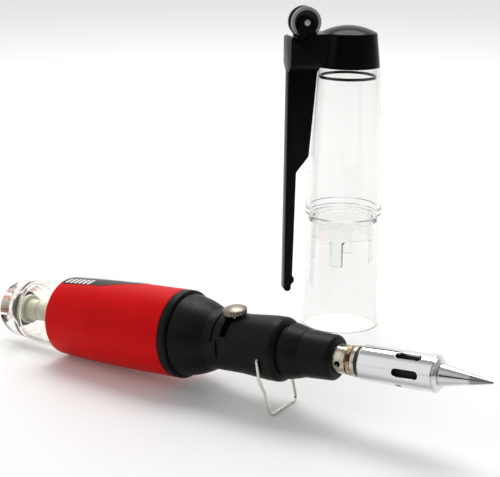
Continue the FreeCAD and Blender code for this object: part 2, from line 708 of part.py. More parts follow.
def make_filler_valve():
    """The valve body, its gasket, and the stem with its seal, spring and spring seat."""
    flange_rear = d.tank_floor + d.gasket_thickness
    flange_front = flange_rear + d.flange_length
    nut_front = flange_front + d.nut_length
    body = new_body("filler_valve_body")
    turned(
        body,
        [
            (d.nose_end, d.stem_bore),
            (d.nose_end, d.nose_radius),
            (flange_rear, d.nose_radius),
            (flange_rear, d.flange_radius),
            (flange_front, d.flange_radius),
            (flange_front, d.nut_radius),
            (nut_front, d.nut_radius),
            (nut_front, d.filler_radius),
            (d.filler_line, d.filler_radius),
            (d.filler_line, d.filler_radius - 0.2),
            (d.filler_line + d.line_width, d.filler_radius - 0.2),
            (d.filler_line + d.line_width, d.filler_radius),
            (d.filler_front, d.filler_radius),
            (d.filler_front, d.guide_radius),
            (d.filler_front - d.seat_length, d.guide_radius),
            (d.filler_front - d.seat_length, d.chamber_radius),
            (d.chamber_rear, d.chamber_radius),
            (d.chamber_rear, d.stem_bore),
        ],
    )
    keep(body, "torch")

    gasket = new_body("filler_valve_gasket")
    ring(gasket, d.tank_floor, flange_rear, d.nose_radius + d.joint_gap, d.gasket_radius)
    keep(gasket, "torch")

    washer_front = d.chamber_rear + d.washer_thickness
    seal = new_body("filler_stem_seal")
    ring(seal, d.chamber_rear, washer_front, d.stem_radius, d.head_radius)
    keep(seal, "torch")

    head_front = washer_front + d.head_length
    guide_front = head_front + d.guide_length
    stem = new_body("filler_stem")
    turned(
        stem,
        [
            (d.stem_end, d.stem_duct),
            (d.stem_end, d.stem_radius),
            (washer_front, d.stem_radius),
            (washer_front, d.head_radius),
            (head_front, d.head_radius),
            (head_front, d.guide_radius),
            (guide_front, d.guide_radius),
            (guide_front, 0),
            (washer_front, 0),
            (washer_front, d.stem_duct),
        ],
    )
    keep(stem, "torch")

    spring = coil(d.coil_radius.value, d.coil_wire.value, d.coil_length.value, d.coil_turns.value)
    along_axis = FreeCAD.Rotation(V(0, 1, 0), 90)
    keep_shape("filler_spring", spring, "torch", FreeCAD.Placement(V(head_front.value, 0, 0), along_axis))

    seat = new_body("filler_spring_seat")
    seat_rear = head_front + d.coil_length
    ring(seat, seat_rear, seat_rear + d.seat_length, d.guide_radius, d.chamber_radius)
    keep(seat, "torch")


def make_wick_and_filter():
    wick = new_body("fuel_wick")
    ring(wick, d.wick_rear, d.valve_rear, 0, d.wick_radius)
    keep(wick, "torch")
    porous = new_body("gas_filter")
    ring(porous, d.valve_rear, d.valve_rear + d.filter_length, 0, d.filter_radius)
    keep(porous, "torch")


# ---- Grip sleeve, label and collar --------------------------------------------------------------------------


def make_grip_sleeve():
    body = new_body("grip_sleeve")
    bore = d.tank_radius + d.joint_gap
    turned(
        body,
        [
            (d.sleeve_rear, bore),
            (d.tank_front, bore),
            (d.tank_front, d.grip_radius),
            (d.sleeve_full, d.grip_radius, -d.sleeve_bow),
            (d.sleeve_rear, d.sleeve_rear_radius),
        ],
    )
    rounded(body, d.sleeve_edge, [(d.sleeve_rear, d.sleeve_rear_radius)])
    keep(body, "torch")


def grip_bow_centre():
    """Centre of the bow of the grip's side, as a point (x, radius)."""
    rear = V(d.sleeve_rear.value, d.sleeve_rear_radius.value, 0)
    full = V(d.sleeve_full.value, d.grip_radius.value, 0)
    chord = full - rear
    inward = V(chord.y, -chord.x, 0).normalize()
    return (rear + full) * 0.5 + inward * math.sqrt(d.sleeve_bow.value**2 - chord.Length**2 / 4)


def grip_side(along, inset=0):
    """Radius of the grip's bowed side at a place along it, or of a line inset from that side."""
    centre = grip_bow_centre()
    bow = d.sleeve_bow.value - inset
    return centre.y + math.sqrt(bow * bow - (along - centre.x) ** 2)


def make_sleeve_label():
    """A film on the grip's upper side. Its near edge runs slantwise, so that it narrows to the front."""
    body = new_body("sleeve_label")
    rear, front, film = d.label_rear, d.label_front, d.label_thickness
    rear_radius, front_radius = grip_side(rear.value), grip_side(front.value)
    turned(
        body,
        [
            (rear, rear_radius, d.sleeve_bow),
            (front, front_radius),
            (front, front_radius + film.value, -d.sleeve_bow),
            (rear, rear_radius + film.value),
        ],
        sweep=d.label_sweep,
        start=d.label_start,
    )
    below = -20
    near_edge = [(front + 2, 1.9), (d.label_bend, -3.6), (rear - 2, -4.0)]
    pocketed(body, "XY_Plane", [(rear - 2, below), (front + 2, below), *near_edge], 30)
    keep(body, "torch")


def make_collar_ring():
    body = new_body("collar_ring")
    rear = d.tank_front + 0.1
    front = rear + d.collar_length
    ring(body, rear, front, d.tank_radius + d.joint_gap, d.grip_radius)
    rounded(body, d.collar_round, [(front, d.grip_radius)])
    keep(body, "torch")


# ---- Front housing ------------------------------------------------------------------------------------------


def make_front_housing():
    body = new_body("front_housing")
    inner_front = d.barrel_end - d.front_wall
    turned(
        body,
        [
            (d.tank_front, d.housing_mouth),
            (d.tank_front, d.tank_radius),
            (d.cone_start, d.tank_radius),
            (d.cone_start, d.cone_radius, d.cone_bow),
            (d.cone_end, d.cone_end_radius, -d.cone_bow * 0.5),
            (d.neck_start, d.neck_radius),
            (d.neck_end, d.neck_radius),
            (d.barrel_start, d.barrel_radius),
            (d.barrel_end, d.barrel_radius),
            (d.barrel_end, d.front_hole),
            (inner_front, d.front_hole),
            (inner_front, d.housing_bore),
            (d.bore_start, d.housing_bore),
            (d.cone_start, d.housing_mouth),
        ],
    )
    rounded(body, d.barrel_round, [(d.barrel_end, d.barrel_radius)])
    reach = 5
    for side in (-1, 1):
        corner = d.flat_half if side > 0 else -(d.flat_half + reach)
        milled(
            body, d.flat_front - d.flat_rear, reach, d.flat_top + 12, d.flat_rear, corner, -12
        )
    across = FreeCAD.Rotation(V(1, 0, 0), -90)
    drilled(body, d.stand_hole, 40, d.stand_pivot_x, -20, d.stand_pivot_z, across)
    track_front = d.track_rear + d.track_width
    inside, outside = d.housing_bore - 1, d.barrel_radius + 1
    grooved(
        body,
        [(d.track_rear, inside), (track_front, inside), (track_front, outside), (d.track_rear, outside)],
        sweep=d.track_sweep,
        start=d.track_start,
    )
    floor = d.neck_radius - d.scale_depth
    line_front = d.scale_line + d.scale_width
    grooved(
        body,
        [(d.scale_line, floor), (line_front, floor), (line_front, outside), (d.scale_line, outside)],
        sweep=d.scale_sweep,
        start=d.scale_start,
    )
    keep(body, "torch")


# ---- Gas valve, control ring and lever ----------------------------------------------------------------------


def make_gas_valve_body():
    body = new_body("gas_valve_body")
    turned(
        body,
        [
            (d.valve_rear, d.filter_radius),
            (d.valve_rear, d.valve_stub),
            (d.tank_front, d.valve_stub),
            (d.tank_front, d.valve_flange),
            (d.valve_flange_end, d.valve_flange),
            (d.valve_flange_end, d.valve_body_radius),
            (d.valve_body_end, d.valve_body_radius),
            (d.valve_body_end, d.boss_radius),
            (d.boss_end, d.boss_radius),
            (d.boss_end, d.needle_bore),
            (d.seat_place, d.needle_bore),
            (d.seat_place, d.feed_bore),
            (d.valve_rear + d.filter_length, d.feed_bore),
            (d.valve_rear + d.filter_length, d.filter_radius),
        ],
    )
    slot_half = d.pin_radius + 0.1
    milled(
        body,
        d.pin_radius * 2 + d.needle_travel + 0.2,
        slot_half * 2,
        20,
        d.control_middle - d.pin_radius - 0.1,
        -slot_half,
        -10,
    )
    keep(body, "torch")


def make_valve_needle():
    needle = new_body("valve_needle")
    turned(
        needle,
        [
            (d.needle_rear, 0),
            (d.needle_rear, d.needle_tip),
            (d.needle_rear + d.needle_cone, d.needle_radius),
            (d.needle_front, d.needle_radius),
            (d.needle_front, 0),
        ],
    )
    drilled(needle, d.pin_radius, 10, d.control_middle, 0, -5)
    keep(needle, "torch")
    pin = doc.addObject("Part::Cylinder", "needle_cross_pin")
    bind(pin, "Radius", d.pin_radius)
    bind(pin, "Height", d.pin_half * 2)
    keep(pin, "torch", FreeCAD.Placement(V(d.control_middle.value, 0, -d.pin_half.value), FreeCAD.Rotation()))


def lever_place():
    """Where the upright lever stands: over the control ring, turned a little to the user's side."""
    return FreeCAD.Placement(V(d.control_middle.value, 0, 0), FreeCAD.Rotation(V(1, 0, 0), d.lever_turn.value))


def make_gas_control():
    """The control ring, the post that passes the housing's slot, and the knurled knob on it."""
    control = new_body("control_ring")
    cam_rear = -(d.pin_radius + 0.1)
    cam_front = d.pin_radius + d.needle_travel + 0.1
    turned(
        control,
        [
            (-d.control_half, d.control_bore),
            (cam_rear, d.control_bore),
            (cam_rear, d.cam_radius),
            (cam_front, d.cam_radius),
            (cam_front, d.control_bore),
            (d.control_half, d.control_bore),
            (d.control_half, d.control_radius),
            (-d.control_half, d.control_radius),
        ],
    )
    drilled(control, d.post_radius, 5, 0, 0, d.post_foot)
    keep(control, "torch", lever_place())

    post = new_body("lever_post")
    turned(
        post,
        [
            (0, d.post_foot),
            (d.post_radius, d.post_foot),
            (d.post_radius, d.knob_base + 1),
            (0, d.knob_base + 1),
        ],
        axis="Z",
    )
    keep(post, "torch", lever_place())

    knob = new_body("gas_lever_knob")
    side_top = d.knob_base + d.knob_side
    turned(
        knob,
        [
            (d.post_radius, d.knob_base),
            (d.knob_radius, d.knob_base),
            (d.knob_radius, side_top),
            (d.knob_radius - d.knob_bevel, side_top + 0.3, -d.knob_crown),
            (d.knob_flat, d.knob_base + d.knob_height),
            (0, d.knob_base + d.knob_height),
            (0, d.knob_base + 1),
            (d.post_radius, d.knob_base + 1),
        ],
        axis="Z",
    )
    groove = drilled(knob, d.knurl_radius, 10, d.knob_radius + 0.1, 0, d.knob_base - 1)
    repeated(knob, groove, d.knurl_count, "Z_Axis")
    keep(knob, "torch", lever_place())


# ---- Gas line, jet, burner tube and nose --------------------------------------------------------------------


def make_gas_line():
    line = new_body("gas_line")
    ring(line, d.boss_end, d.holder_rear, d.line_bore, d.line_radius)
    keep(line, "torch")


def make_jet_holder():
    body = new_body("jet_holder")
    turned(
        body,
        [
            (d.holder_rear, d.line_bore),
            (d.holder_rear, d.holder_radius),
            (d.holder_front, d.holder_radius),
            (d.holder_front, d.jet_radius),
            (d.jet_rear, d.jet_radius),
            (d.jet_rear, d.line_bore),
        ],
    )
    keep(body, "torch")
    jet = new_body("gas_jet")
    throat = d.jet_front - 1
    turned(
        jet,
        [
            (d.jet_rear, d.line_bore),
            (d.jet_rear, d.jet_radius),
            (throat, d.jet_radius),
            (d.jet_front, d.line_bore),
            (d.jet_front, d.jet_orifice),
            (throat, d.jet_orifice),
            (throat, d.line_bore),
        ],
    )
    keep(jet, "torch")


def make_burner_tube():
    body = new_body("burner_tube")
    turned(
        body,
        [
            (d.holder_front, d.tube_bore),
            (d.tube_front, d.tube_bore),
            (d.tube_front, d.holder_radius - 0.1),
            (d.waist_front, d.holder_radius - 0.1),
            (d.waist_front, d.waist_radius),
            (d.waist_rear, d.waist_radius),
            (d.waist_rear, d.holder_radius),
            (d.holder_front, d.holder_radius),
        ],
    )
    hole = drilled(body, d.air_radius, 10, d.air_place, 0, 0, FreeCAD.Rotation(V(1, 0, 0), 90))
    repeated(body, hole, d.air_count)
    keep(body, "torch")


def make_copper_coil():
    """Rings of copper wire side by side in the burner tube's waist."""
    length = d.waist_front.value - d.waist_rear.value
    turns = d.copper_turns.value
    wire = d.copper_wire.value
    rings = []
    for number in range(turns):
        along = d.waist_rear.value + length * (number + 0.5) / turns
        rings.append(Part.makeTorus(d.waist_radius.value + wire, wire, V(along, 0, 0), V(1, 0, 0)))
    keep_shape("copper_sealing_coil", Part.makeCompound(rings), "torch")


def make_union():
    union = new_body("union_ring")
    ring(union, d.waist_front + 0.1, d.union_front, d.holder_radius - 0.1, d.union_radius)
    rounded(union, 0.3, [(d.union_front, d.union_radius), (d.waist_front + 0.1, d.union_radius)])
    keep(union, "torch")
    gasket = new_body("tip_gasket")
    ring(gasket, d.union_front, d.tip_rear, d.holder_radius - 0.1, d.tip_gasket_radius)
    keep(gasket, "torch")


def make_nose():
    nose_ring = new_body("nose_ring")
    turned(
        nose_ring,
        [
            (d.barrel_end, d.holder_radius + d.joint_gap),
            (d.barrel_end, d.nose_ring_neck_radius),
            (d.nose_ring_neck, d.nose_ring_neck_radius),
            (d.nose_ring_neck, d.nose_ring_radius),
            (d.nose_ring_front, d.nose_ring_front_radius),
            (d.nose_ring_front, d.holder_radius + d.joint_gap),
        ],
    )
    rounded(
        nose_ring,
        d.nose_ring_round,
        [(d.nose_ring_neck, d.nose_ring_radius), (d.nose_ring_front, d.nose_ring_front_radius)],
    )
    keep(nose_ring, "torch")
    sleeve = new_body("nose_sleeve")
    turned(
        sleeve,
        [
            (d.nose_ring_front, d.holder_radius + d.joint_gap),
            (d.nose_ring_front, d.nose_rear_radius),
            (d.nose_front, d.nose_front_radius),
            (d.nose_front, d.holder_radius + d.joint_gap),
        ],
    )
    rounded(sleeve, d.nose_round, [(d.nose_front, d.nose_front_radius)])
    keep(sleeve, "torch")


# ---- Tip body, burner and soldering tip ---------------------------------------------------------------------


def make_tip_body():
    body = new_body("tip_body")
    turned(
        body,
        [
            (d.tip_rear, d.tip_bore_rear),
            (d.tip_rear, d.tip_rear_radius),
            (d.tip_rear + d.tip_flare, d.tip_flare_radius),
            (d.tip_front, d.tip_front_radius),
            (d.tip_front, d.tip_bore),
            (d.tip_step, d.tip_bore),
            (d.tip_step, d.tip_bore_rear),
        ],
    )
    rear, front, half = d.vent_rear + d.vent_half, d.vent_front - d.vent_half, d.vent_half
    round_end = -(half * ALMOST_HALF_CIRCLE)
    slot = pocketed(
        body,
        "XY_Plane",
        [(rear, -half), (front, -half, round_end), (front, half), (rear, half, round_end)],
        10,
        turn=d.vent_turn,
    )
    repeated(body, slot, d.vent_count)
    keep(body, "torch")


def make_tip_nut():
    body = new_body("tip_nut")
    shoulder = d.tip_front + d.tip_nut_line
    turned(
        body,
        [
            (d.tip_front, d.nut_hole),
            (d.tip_front, d.tip_front_radius - d.tip_nut_line),
            (shoulder, d.tip_front_radius - d.tip_nut_line),
            (shoulder, d.tip_nut_radius),
            (d.tip_nut_front, d.tip_nut_radius),
            (d.tip_nut_front, d.nut_hole),
        ],
    )
    chamfered(body, d.tip_nut_chamfer, [(d.tip_nut_front, d.tip_nut_radius)])
    keep(body, "torch")


def make_burner():
    mesh = new_body("flame_mesh")
    ring(mesh, d.mesh_rear, d.mesh_rear + d.mesh_thickness, 0, d.tip_bore)
    spot = drilled(mesh, 0.35, 5, d.mesh_rear - 1, 0, 2.2, FreeCAD.Rotation(V(0, 1, 0), 90))
    repeated(mesh, spot, 12)
    keep(mesh, "torch")
    catalyst = new_body("catalyst")
    ring(catalyst, d.catalyst_rear, d.catalyst_front, 0, d.catalyst_radius)
    channel = drilled(catalyst, 0.5, 20, d.catalyst_rear - 1, 0, 2.1, FreeCAD.Rotation(V(0, 1, 0), 90))
    repeated(catalyst, channel, 10)
    keep(catalyst, "torch")


def make_soldering_tip():
    body = new_body("soldering_tip")
    turned(
        body,
        [
            (d.collector_rear, 0),
            (d.collector_rear, d.collector_radius),
            (d.tip_front, d.collector_radius),
            (d.tip_front, d.shank_radius),
            (d.tip_nut_front, d.shank_radius),
            (d.tip_nut_front, d.point_base_radius),
            (d.point_base, d.point_base_radius),
            (d.point_middle, d.point_middle_radius),
            (d.point_end - 0.2, d.point_end_radius, d.point_end_radius * 1.02),
            (d.point_end, 0),
        ],
    )
    keep(body, "torch")


# ---- Wire stand ---------------------------------------------------------------------------------------------


def torch_height():
    """Height of the torch axis at the collar front, with the grip's rounded rear edge on the ground."""
    tilt = math.radians(d.torch_tilt.value)
    edge = d.sleeve_edge.value
    edge_x = d.sleeve_rear.value + edge
    edge_r = grip_side(edge_x, edge)
    return edge_r * math.cos(tilt) + edge - edge_x * math.sin(tilt)


def stand_foot_z():
    """How far below the axis the stand's foot lies, so that it rests on the ground as well."""
    tilt = math.radians(d.torch_tilt.value)
    rise = d.stand_foot_x.value * math.sin(tilt)
    return (d.stand_wire.value - torch_height() - rise) / math.cos(tilt)


def bent(points, bends):
    """A wire path through points, with an arc of its own radius at each inner point."""
    edges, here = [], points[0]
    for number, bend in enumerate(bends, 1):
        corner = points[number]
        back = (points[number - 1] - corner).normalize()
        ahead = (points[number + 1] - corner).normalize()
        half = back.getAngle(ahead) / 2
        reach = bend / math.tan(half)
        start, end = corner + back * reach, corner + ahead * reach
        heart = corner + (back + ahead).normalize() * (bend / math.sin(half))
        middle = heart + (corner - heart).normalize() * bend
        edges += [Part.LineSegment(here, start).toShape(), Part.Arc(start, middle, end).toShape()]
        here = end
    edges.append(Part.LineSegment(here, points[-1]).toShape())
    return Part.Wire(edges)


def make_wire_stand():
    """One wire: a pivot pin, a leg with an offset, the foot, and the same again on the other side."""
    half = [
        V(d.stand_pivot_x.value, d.stand_pin_end.value, d.stand_pivot_z.value),
        V(d.stand_pivot_x.value, d.stand_side.value, d.stand_pivot_z.value),
        V(d.stand_bend_x.value, d.stand_side.value, d.stand_bend_z.value),
        V(d.stand_offset_x.value, d.stand_offset_y.value, d.stand_offset_z.value),
        V(d.stand_foot_x.value, d.stand_foot_y.value, stand_foot_z()),
    ]
    other = [V(point.x, -point.y, point.z) for point in reversed(half)]
    bends = [d.pin_bend.value, d.leg_bend.value, d.leg_bend.value, d.foot_bend.value]
    path = bent(half + other, bends + bends[::-1])
    section = Part.Wire([Part.makeCircle(d.stand_wire.value, half[0], V(0, 1, 0))])
    keep_shape("wire_stand", path.makePipeShell([section], True, False), "torch")


# ---- Cap: clear pieces --------------------------------------------------------------------------------------


def make_cap_tube():
    body = new_body("cap_tube")
    turned(
        body,
        [
            (d.rim_bore, 0),
            (d.grip_radius, 0),
            (d.skirt_top_radius, d.skirt_top),
            (d.band_radius, d.skirt_top + 0.3),
            (d.band_radius, d.band_top),
            (d.upper_radius, d.band_top + 0.3, -d.tube_bow),
            (d.tube_top_radius, d.tube_top),
            (d.tube_top_bore, d.tube_top, d.tube_bow),
            (d.upper_bore, d.insert_top),
        ],
        axis="Z",
    )
    keep(body, "cap")


def make_cap_grip_insert():
    """A ring in the cap with four fingers that snap over the barrel."""
    body = new_body("cap_grip_insert")
    turned(
        body,
        [
            (d.finger_bore, d.finger_end),
            (d.finger_radius, d.finger_end),
            (d.finger_radius, d.insert_shelf),
            (d.insert_radius, d.insert_shelf),
            (d.insert_radius, d.insert_top),
            (d.finger_bore, d.insert_top),
        ],
        axis="Z",
    )
    half, corner, low = d.finger_gap * 0.5, d.finger_corner, d.finger_end - 2
    gap = pocketed(
        body,
        "XZ_Plane",
        [
            (-half, low),
            (half, low),
            (half, d.finger_root - corner, -corner),
            (half - corner, d.finger_root),
            (-(half - corner), d.finger_root, -corner),
            (-half, d.finger_root - corner),
        ],
        20,
    )
    repeated(body, gap, d.finger_count, "Z_Axis")
    keep(body, "cap", FreeCAD.Placement(V(), FreeCAD.Rotation(V(0, 0, 1), d.finger_turn.value)))


def make_cap_seal_ring():
    body = new_body("cap_seal_ring")
    top = d.seal_bottom + d.seal_height
    turned(
        body,
        [(d.seal_bore, d.seal_bottom), (d.seal_radius, d.seal_bottom), (d.seal_radius, top), (d.seal_bore, top)],
        axis="Z",
    )
    keep(body, "cap")


# ---- Cap: top, clip and flint -------------------------------------------------------------------------------


def bevel_boss(body):
    """Slopes the boss's lower side edges in to the width of the clip."""
    inner = d.clip_width.value / 2 + 0.2
    bottom = d.boss_bottom.value
    start, reach, depth = d.tube_top_radius.value - 0.55, 6.0, 4.0
    step = math.sqrt(0.5)
    near_y, near_z = inner - step + depth * step, bottom - step - depth * step
    milled(body, 12, reach, depth, start, near_y, near_z, FreeCAD.Rotation(V(1, 0, 0), 45))
    far_y = step - inner - (reach + depth) * step
    far_z = bottom - step + (reach - depth) * step
    milled(body, 12, reach, depth, start, far_y, far_z, FreeCAD.Rotation(V(1, 0, 0), -45))


def make_cap_top():
    """The black end of the cap, with the boss that carries the spark wheel between two cheeks."""
    body = new_body("cap_top")
    rise = d.crown_height.value - d.top_edge.value
    crown = (d.top_radius.value**2 + rise**2) / (2 * rise)
    turned(
        body,
        [
            (d.hollow_bore, d.tube_top),
            (d.tube_top_radius, d.tube_top),
            (d.top_radius, d.top_edge, -crown),
            (0, d.crown_height),
            (0, d.hollow_top),
            (d.hollow_ceiling, d.hollow_top),
        ],
        axis="Z",
    )
    rounded(body, d.top_round, [(d.top_edge, d.top_radius)], "Z")
    padded(
        body,
        "XZ_Plane",
        [
            (d.hollow_bore + 0.4, d.tube_top),
            (d.boss_inside, d.tube_top),
            (d.boss_inside, d.boss_bottom),
            (d.clip_outside, d.boss_bottom),
            (d.clip_outside, d.boss_corner - 0.6),
            (d.clip_outside - 0.6, d.boss_corner),
            (d.boss_wall, d.boss_corner),
            (d.notch_inside + 0.5, d.notch_bottom),
            (d.notch_inside, d.notch_bottom, d.scoop_bow),
            (d.scoop_start, d.boss_top - 0.3),
            (d.boss_back, d.boss_top),
            (d.boss_back, d.hollow_top + 0.5),
        ],
        d.boss_width,
    )
    cheek_left, cheek_right = d.wheel_place - d.cheek_half, d.wheel_place + d.cheek_half
    padded(
        body,
        "XZ_Plane",
        [
            (cheek_left, d.cheek_foot),
            (cheek_right, d.cheek_foot),
            (cheek_right, d.wheel_height - 0.7, -(d.cheek_half * ALMOST_HALF_CIRCLE)),
            (cheek_left, d.wheel_height - 0.7),
        ],
        d.fork_width,
    )
    bevel_boss(body)
    across = FreeCAD.Rotation(V(1, 0, 0), -90)
    drilled(body, d.wheel_well, d.well_half * 2, d.wheel_place, -d.well_half, d.wheel_height, across)
    drilled(body, d.axle_radius, 20, d.wheel_place, -10, d.wheel_height, across)
    drilled(body, d.flint_bore, 20, d.wheel_place, 0, d.boss_bottom - 5)
    keep(body, "cap")


def make_pocket_clip():
    """The clip, with a wide web at its root that holds the flint tube."""
    body = new_body("pocket_clip")
    half_circle = (d.clip_end_inside - d.clip_outside) * (0.5 * ALMOST_HALF_CIRCLE)
    padded(
        body,
        "XZ_Plane",
        [
            (d.web_top_inside, d.boss_bottom),
            (d.web_bottom_inside, d.web_bottom),
            (d.clip_neck_inside, d.clip_neck),
            (d.clip_lower_inside, d.nib_top),
            (d.nib_reach, d.nib_top - 0.9),
            (d.nib_reach, d.nib_bottom + 0.9),
            (d.clip_end_inside, d.nib_bottom),
            (d.clip_end_inside, d.clip_corner, half_circle),
            (d.clip_outside, d.clip_corner),
            (d.clip_outside, d.boss_bottom),
        ],
        d.clip_width,
    )
    drilled(body, d.flint_bore, 60, d.wheel_place, 0, d.clip_neck)
    keep(body, "cap")


def make_flint():
    """The flint, the spring that pushes it up and the screw that closes the tube."""
    flint = doc.addObject("Part::Cylinder", "flint")
    bind(flint, "Radius", d.flint_radius)
    bind(flint, "Height", d.flint_top - d.flint_bottom)
    place_x = d.wheel_place.value
    keep(flint, "cap", FreeCAD.Placement(V(place_x, 0, d.flint_bottom.value), FreeCAD.Rotation()))

    length = d.flint_bottom.value - d.screw_top.value
    spring = coil(d.flint_coil.value, d.flint_wire.value, length, d.flint_turns.value)
    spring_foot = FreeCAD.Placement(V(place_x, 0, d.screw_top.value), FreeCAD.Rotation())
    keep_shape("flint_spring", spring, "cap", spring_foot)

    screw = new_body("flint_screw")
    radius = d.flint_bore - d.joint_gap
    turned(
        screw,
        [(0, d.screw_bottom), (radius, d.screw_bottom), (radius, d.screw_top), (0, d.screw_top)],
        axis="Z",
    )
    milled(
        screw, 10, d.screw_slot, d.screw_slot_depth + 1, -5, d.screw_slot * -0.5, d.screw_bottom - 1
    )
    keep(screw, "cap", FreeCAD.Placement(V(place_x, 0, 0), FreeCAD.Rotation()))


# ---- Cap: spark wheel ---------------------------------------------------------------------------------------


def wheel_frame():
    """The wheel's own place in the cap: its axis, drawn along X, lies across the clip."""
    return FreeCAD.Placement(
        V(d.wheel_place.value, 0, d.wheel_height.value), FreeCAD.Rotation(V(0, 0, 1), 90)
    )


def make_thumb_wheel(label, side):
    body = new_body(label)
    inner, outer, dish = d.disc_inner * side, d.disc_outer * side, (d.disc_outer - d.disc_dish) * side
    turned(
        body,
        [
            (inner, d.wheel_bore),
            (dish, d.wheel_bore),
            (dish, d.dish_radius),
            (outer, d.dish_radius),
            (outer, d.disc_radius),
            (inner, d.disc_radius),
        ],
    )
    chamfered(body, d.disc_bevel, [(outer, d.disc_radius)])
    groove = drilled(
        body, d.disc_tooth, 10, -5, 0, d.disc_radius + 0.05, FreeCAD.Rotation(V(0, 1, 0), 90)
    )
    repeated(body, groove, d.disc_teeth)
    keep(body, "cap", wheel_frame())


def make_spark_wheel():
    body = new_body("spark_wheel")
    ring(body, -d.spark_half, d.spark_half, d.wheel_bore, d.spark_radius)
    groove = drilled(
        body, d.spark_tooth, 10, -5, 0, d.spark_radius, FreeCAD.Rotation(V(0, 1, 0), 90)
    )
    repeated(body, groove, d.spark_teeth)
    keep(body, "cap", wheel_frame())


def make_wheel_axle():
    body = new_body("wheel_axle")
    ring(body, -d.axle_half, d.axle_half, 0, d.axle_radius)
    rounded(body, 0.25, [(-d.axle_half, d.axle_radius), (d.axle_half, d.axle_radius)])
    keep(body, "cap", wheel_frame())


# ---- The whole ----------------------------------------------------------------------------------------------


def group_place(group):
    """A group's place on the ground, before the whole is centred on the origin."""
    if group == "torch":
        return FreeCAD.Placement(V(0, 0, torch_height()), FreeCAD.Rotation(V(0, 1, 0), -d.torch_tilt.value))
    turn = FreeCAD.Rotation(V(0, 0, 1), d.clip_turn.value)
    return FreeCAD.Placement(V(d.cap_along.value, d.cap_beside.value, 0), turn)


def place_all():
    """Places every sub-part, with the origin under the middle of the whole. Gives the shift that centres it."""
    for item, group, local in parts:
        item.Placement = group_place(group) * local
    doc.recompute()
    whole = FreeCAD.BoundBox()
    for item, _, _ in parts:
        whole.add(item.Shape.optimalBoundingBox(False, False))
    shift = V(-whole.Center.x, -whole.Center.y, 0)
    for item, group, local in parts:
        item.Placement = FreeCAD.Placement(shift, FreeCAD.Rotation()) * group_place(group) * local
    doc.recompute()
    return shift


def check_all():
    """Stops if any object failed, or a sub-part isn't one sound shape with a name of its own."""
    for item in doc.Objects:
        if "Invalid" in item.State or "Error" in item.State:
            raise RuntimeError(f"{item.Label} failed: {item.State}")
    labels = [item.Label for item, _, _ in parts]
    if len(set(labels)) != len(labels) or max(len(label) for label in labels) >= LABEL_LIMIT:
        raise RuntimeError("two sub-parts share a label, or a label is too long")
    for item, _, _ in parts:
        if item.Shape.isNull() or not item.Shape.isValid() or not item.Shape.Solids:
            raise RuntimeError(f"{item.Label} has no sound solid")


def write_all():
    os.makedirs(PART_FOLDER, exist_ok=True)
    for name in os.listdir(PART_FOLDER):
        os.remove(os.path.join(PART_FOLDER, name))
    for item, _, _ in parts:
        item.Shape.exportStep(os.path.join(PART_FOLDER, f"{item.Label}.step"))


make_fuel_tank()
make_tank_plug()
make_tank_seal_ring()
make_filler_valve()
make_wick_and_filter()
make_grip_sleeve()
make_sleeve_label()
make_collar_ring()
make_front_housing()
make_gas_valve_body()
make_valve_needle()
make_gas_control()
make_gas_line()
make_jet_holder()
make_burner_tube()
make_copper_coil()
make_union()
make_nose()
make_tip_body()
make_tip_nut()
make_burner()
make_soldering_tip()
make_wire_stand()
make_cap_tube()
make_cap_grip_insert()
make_cap_seal_ring()
make_cap_top()
make_pocket_clip()
make_flint()
make_thumb_wheel("near_thumb_wheel", 1)
make_thumb_wheel("far_thumb_wheel", -1)
make_spark_wheel()
make_wheel_axle()
shift = place_all()
check_all()
write_all()
print(f"{len(parts)} sub-parts, shifted by {shift.x:.3f}, {shift.y:.3f}; axis height {torch_height():.3f}")
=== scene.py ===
import json
import math

import bmesh
import bpy
from mathutils import Matrix, Vector


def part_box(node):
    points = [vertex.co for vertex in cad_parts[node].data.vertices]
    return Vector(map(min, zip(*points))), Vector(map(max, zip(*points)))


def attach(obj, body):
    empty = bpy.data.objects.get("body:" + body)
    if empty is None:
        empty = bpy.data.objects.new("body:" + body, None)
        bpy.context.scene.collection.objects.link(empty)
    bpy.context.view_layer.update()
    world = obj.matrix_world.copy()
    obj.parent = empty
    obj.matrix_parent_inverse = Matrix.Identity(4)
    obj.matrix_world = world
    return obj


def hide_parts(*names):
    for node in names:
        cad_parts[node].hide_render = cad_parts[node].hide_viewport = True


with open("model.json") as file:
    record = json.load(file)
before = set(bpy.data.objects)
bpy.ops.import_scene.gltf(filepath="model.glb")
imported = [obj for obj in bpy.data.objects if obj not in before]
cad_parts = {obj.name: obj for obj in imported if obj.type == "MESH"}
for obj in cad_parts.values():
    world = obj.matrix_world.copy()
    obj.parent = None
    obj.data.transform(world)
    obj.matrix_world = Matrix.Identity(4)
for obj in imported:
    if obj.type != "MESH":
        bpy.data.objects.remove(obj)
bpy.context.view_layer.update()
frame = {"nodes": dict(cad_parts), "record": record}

MM = 0.001
RECORD = frame["record"]
JOINTS = {joint["name"]: joint for joint in RECORD["behaviour"]["joints"]}

# A torch lying on its grip and wire stand, with its cap standing behind it. Pieces are drawn in
# millimetres in the coordinates of their own group, as in the CAD model:
#   TORCH: x along the axis to the tip from the collar's front, y away from the user's side, z up.
#   CAP:   z up the cap's axis from its rim, x to the clip.
# LEVER has its z axis up the gas lever's post. WHEEL has its x axis along the flint wheel's axle.
CONTROL_X = 17.4
LEVER_LEAN = 5.0
WHEEL_X = 15.5
WHEEL_Z = 104.8


def frame_matrix(x_axis, z_axis, origin):
    """A right-handed frame from two of its axes and its origin, in the row frame."""
    y_axis = z_axis.cross(x_axis).normalized()
    columns = Matrix((x_axis.normalized(), y_axis, x_axis.cross(y_axis).normalized())).transposed()
    return Matrix.Translation(origin) @ columns.to_4x4()


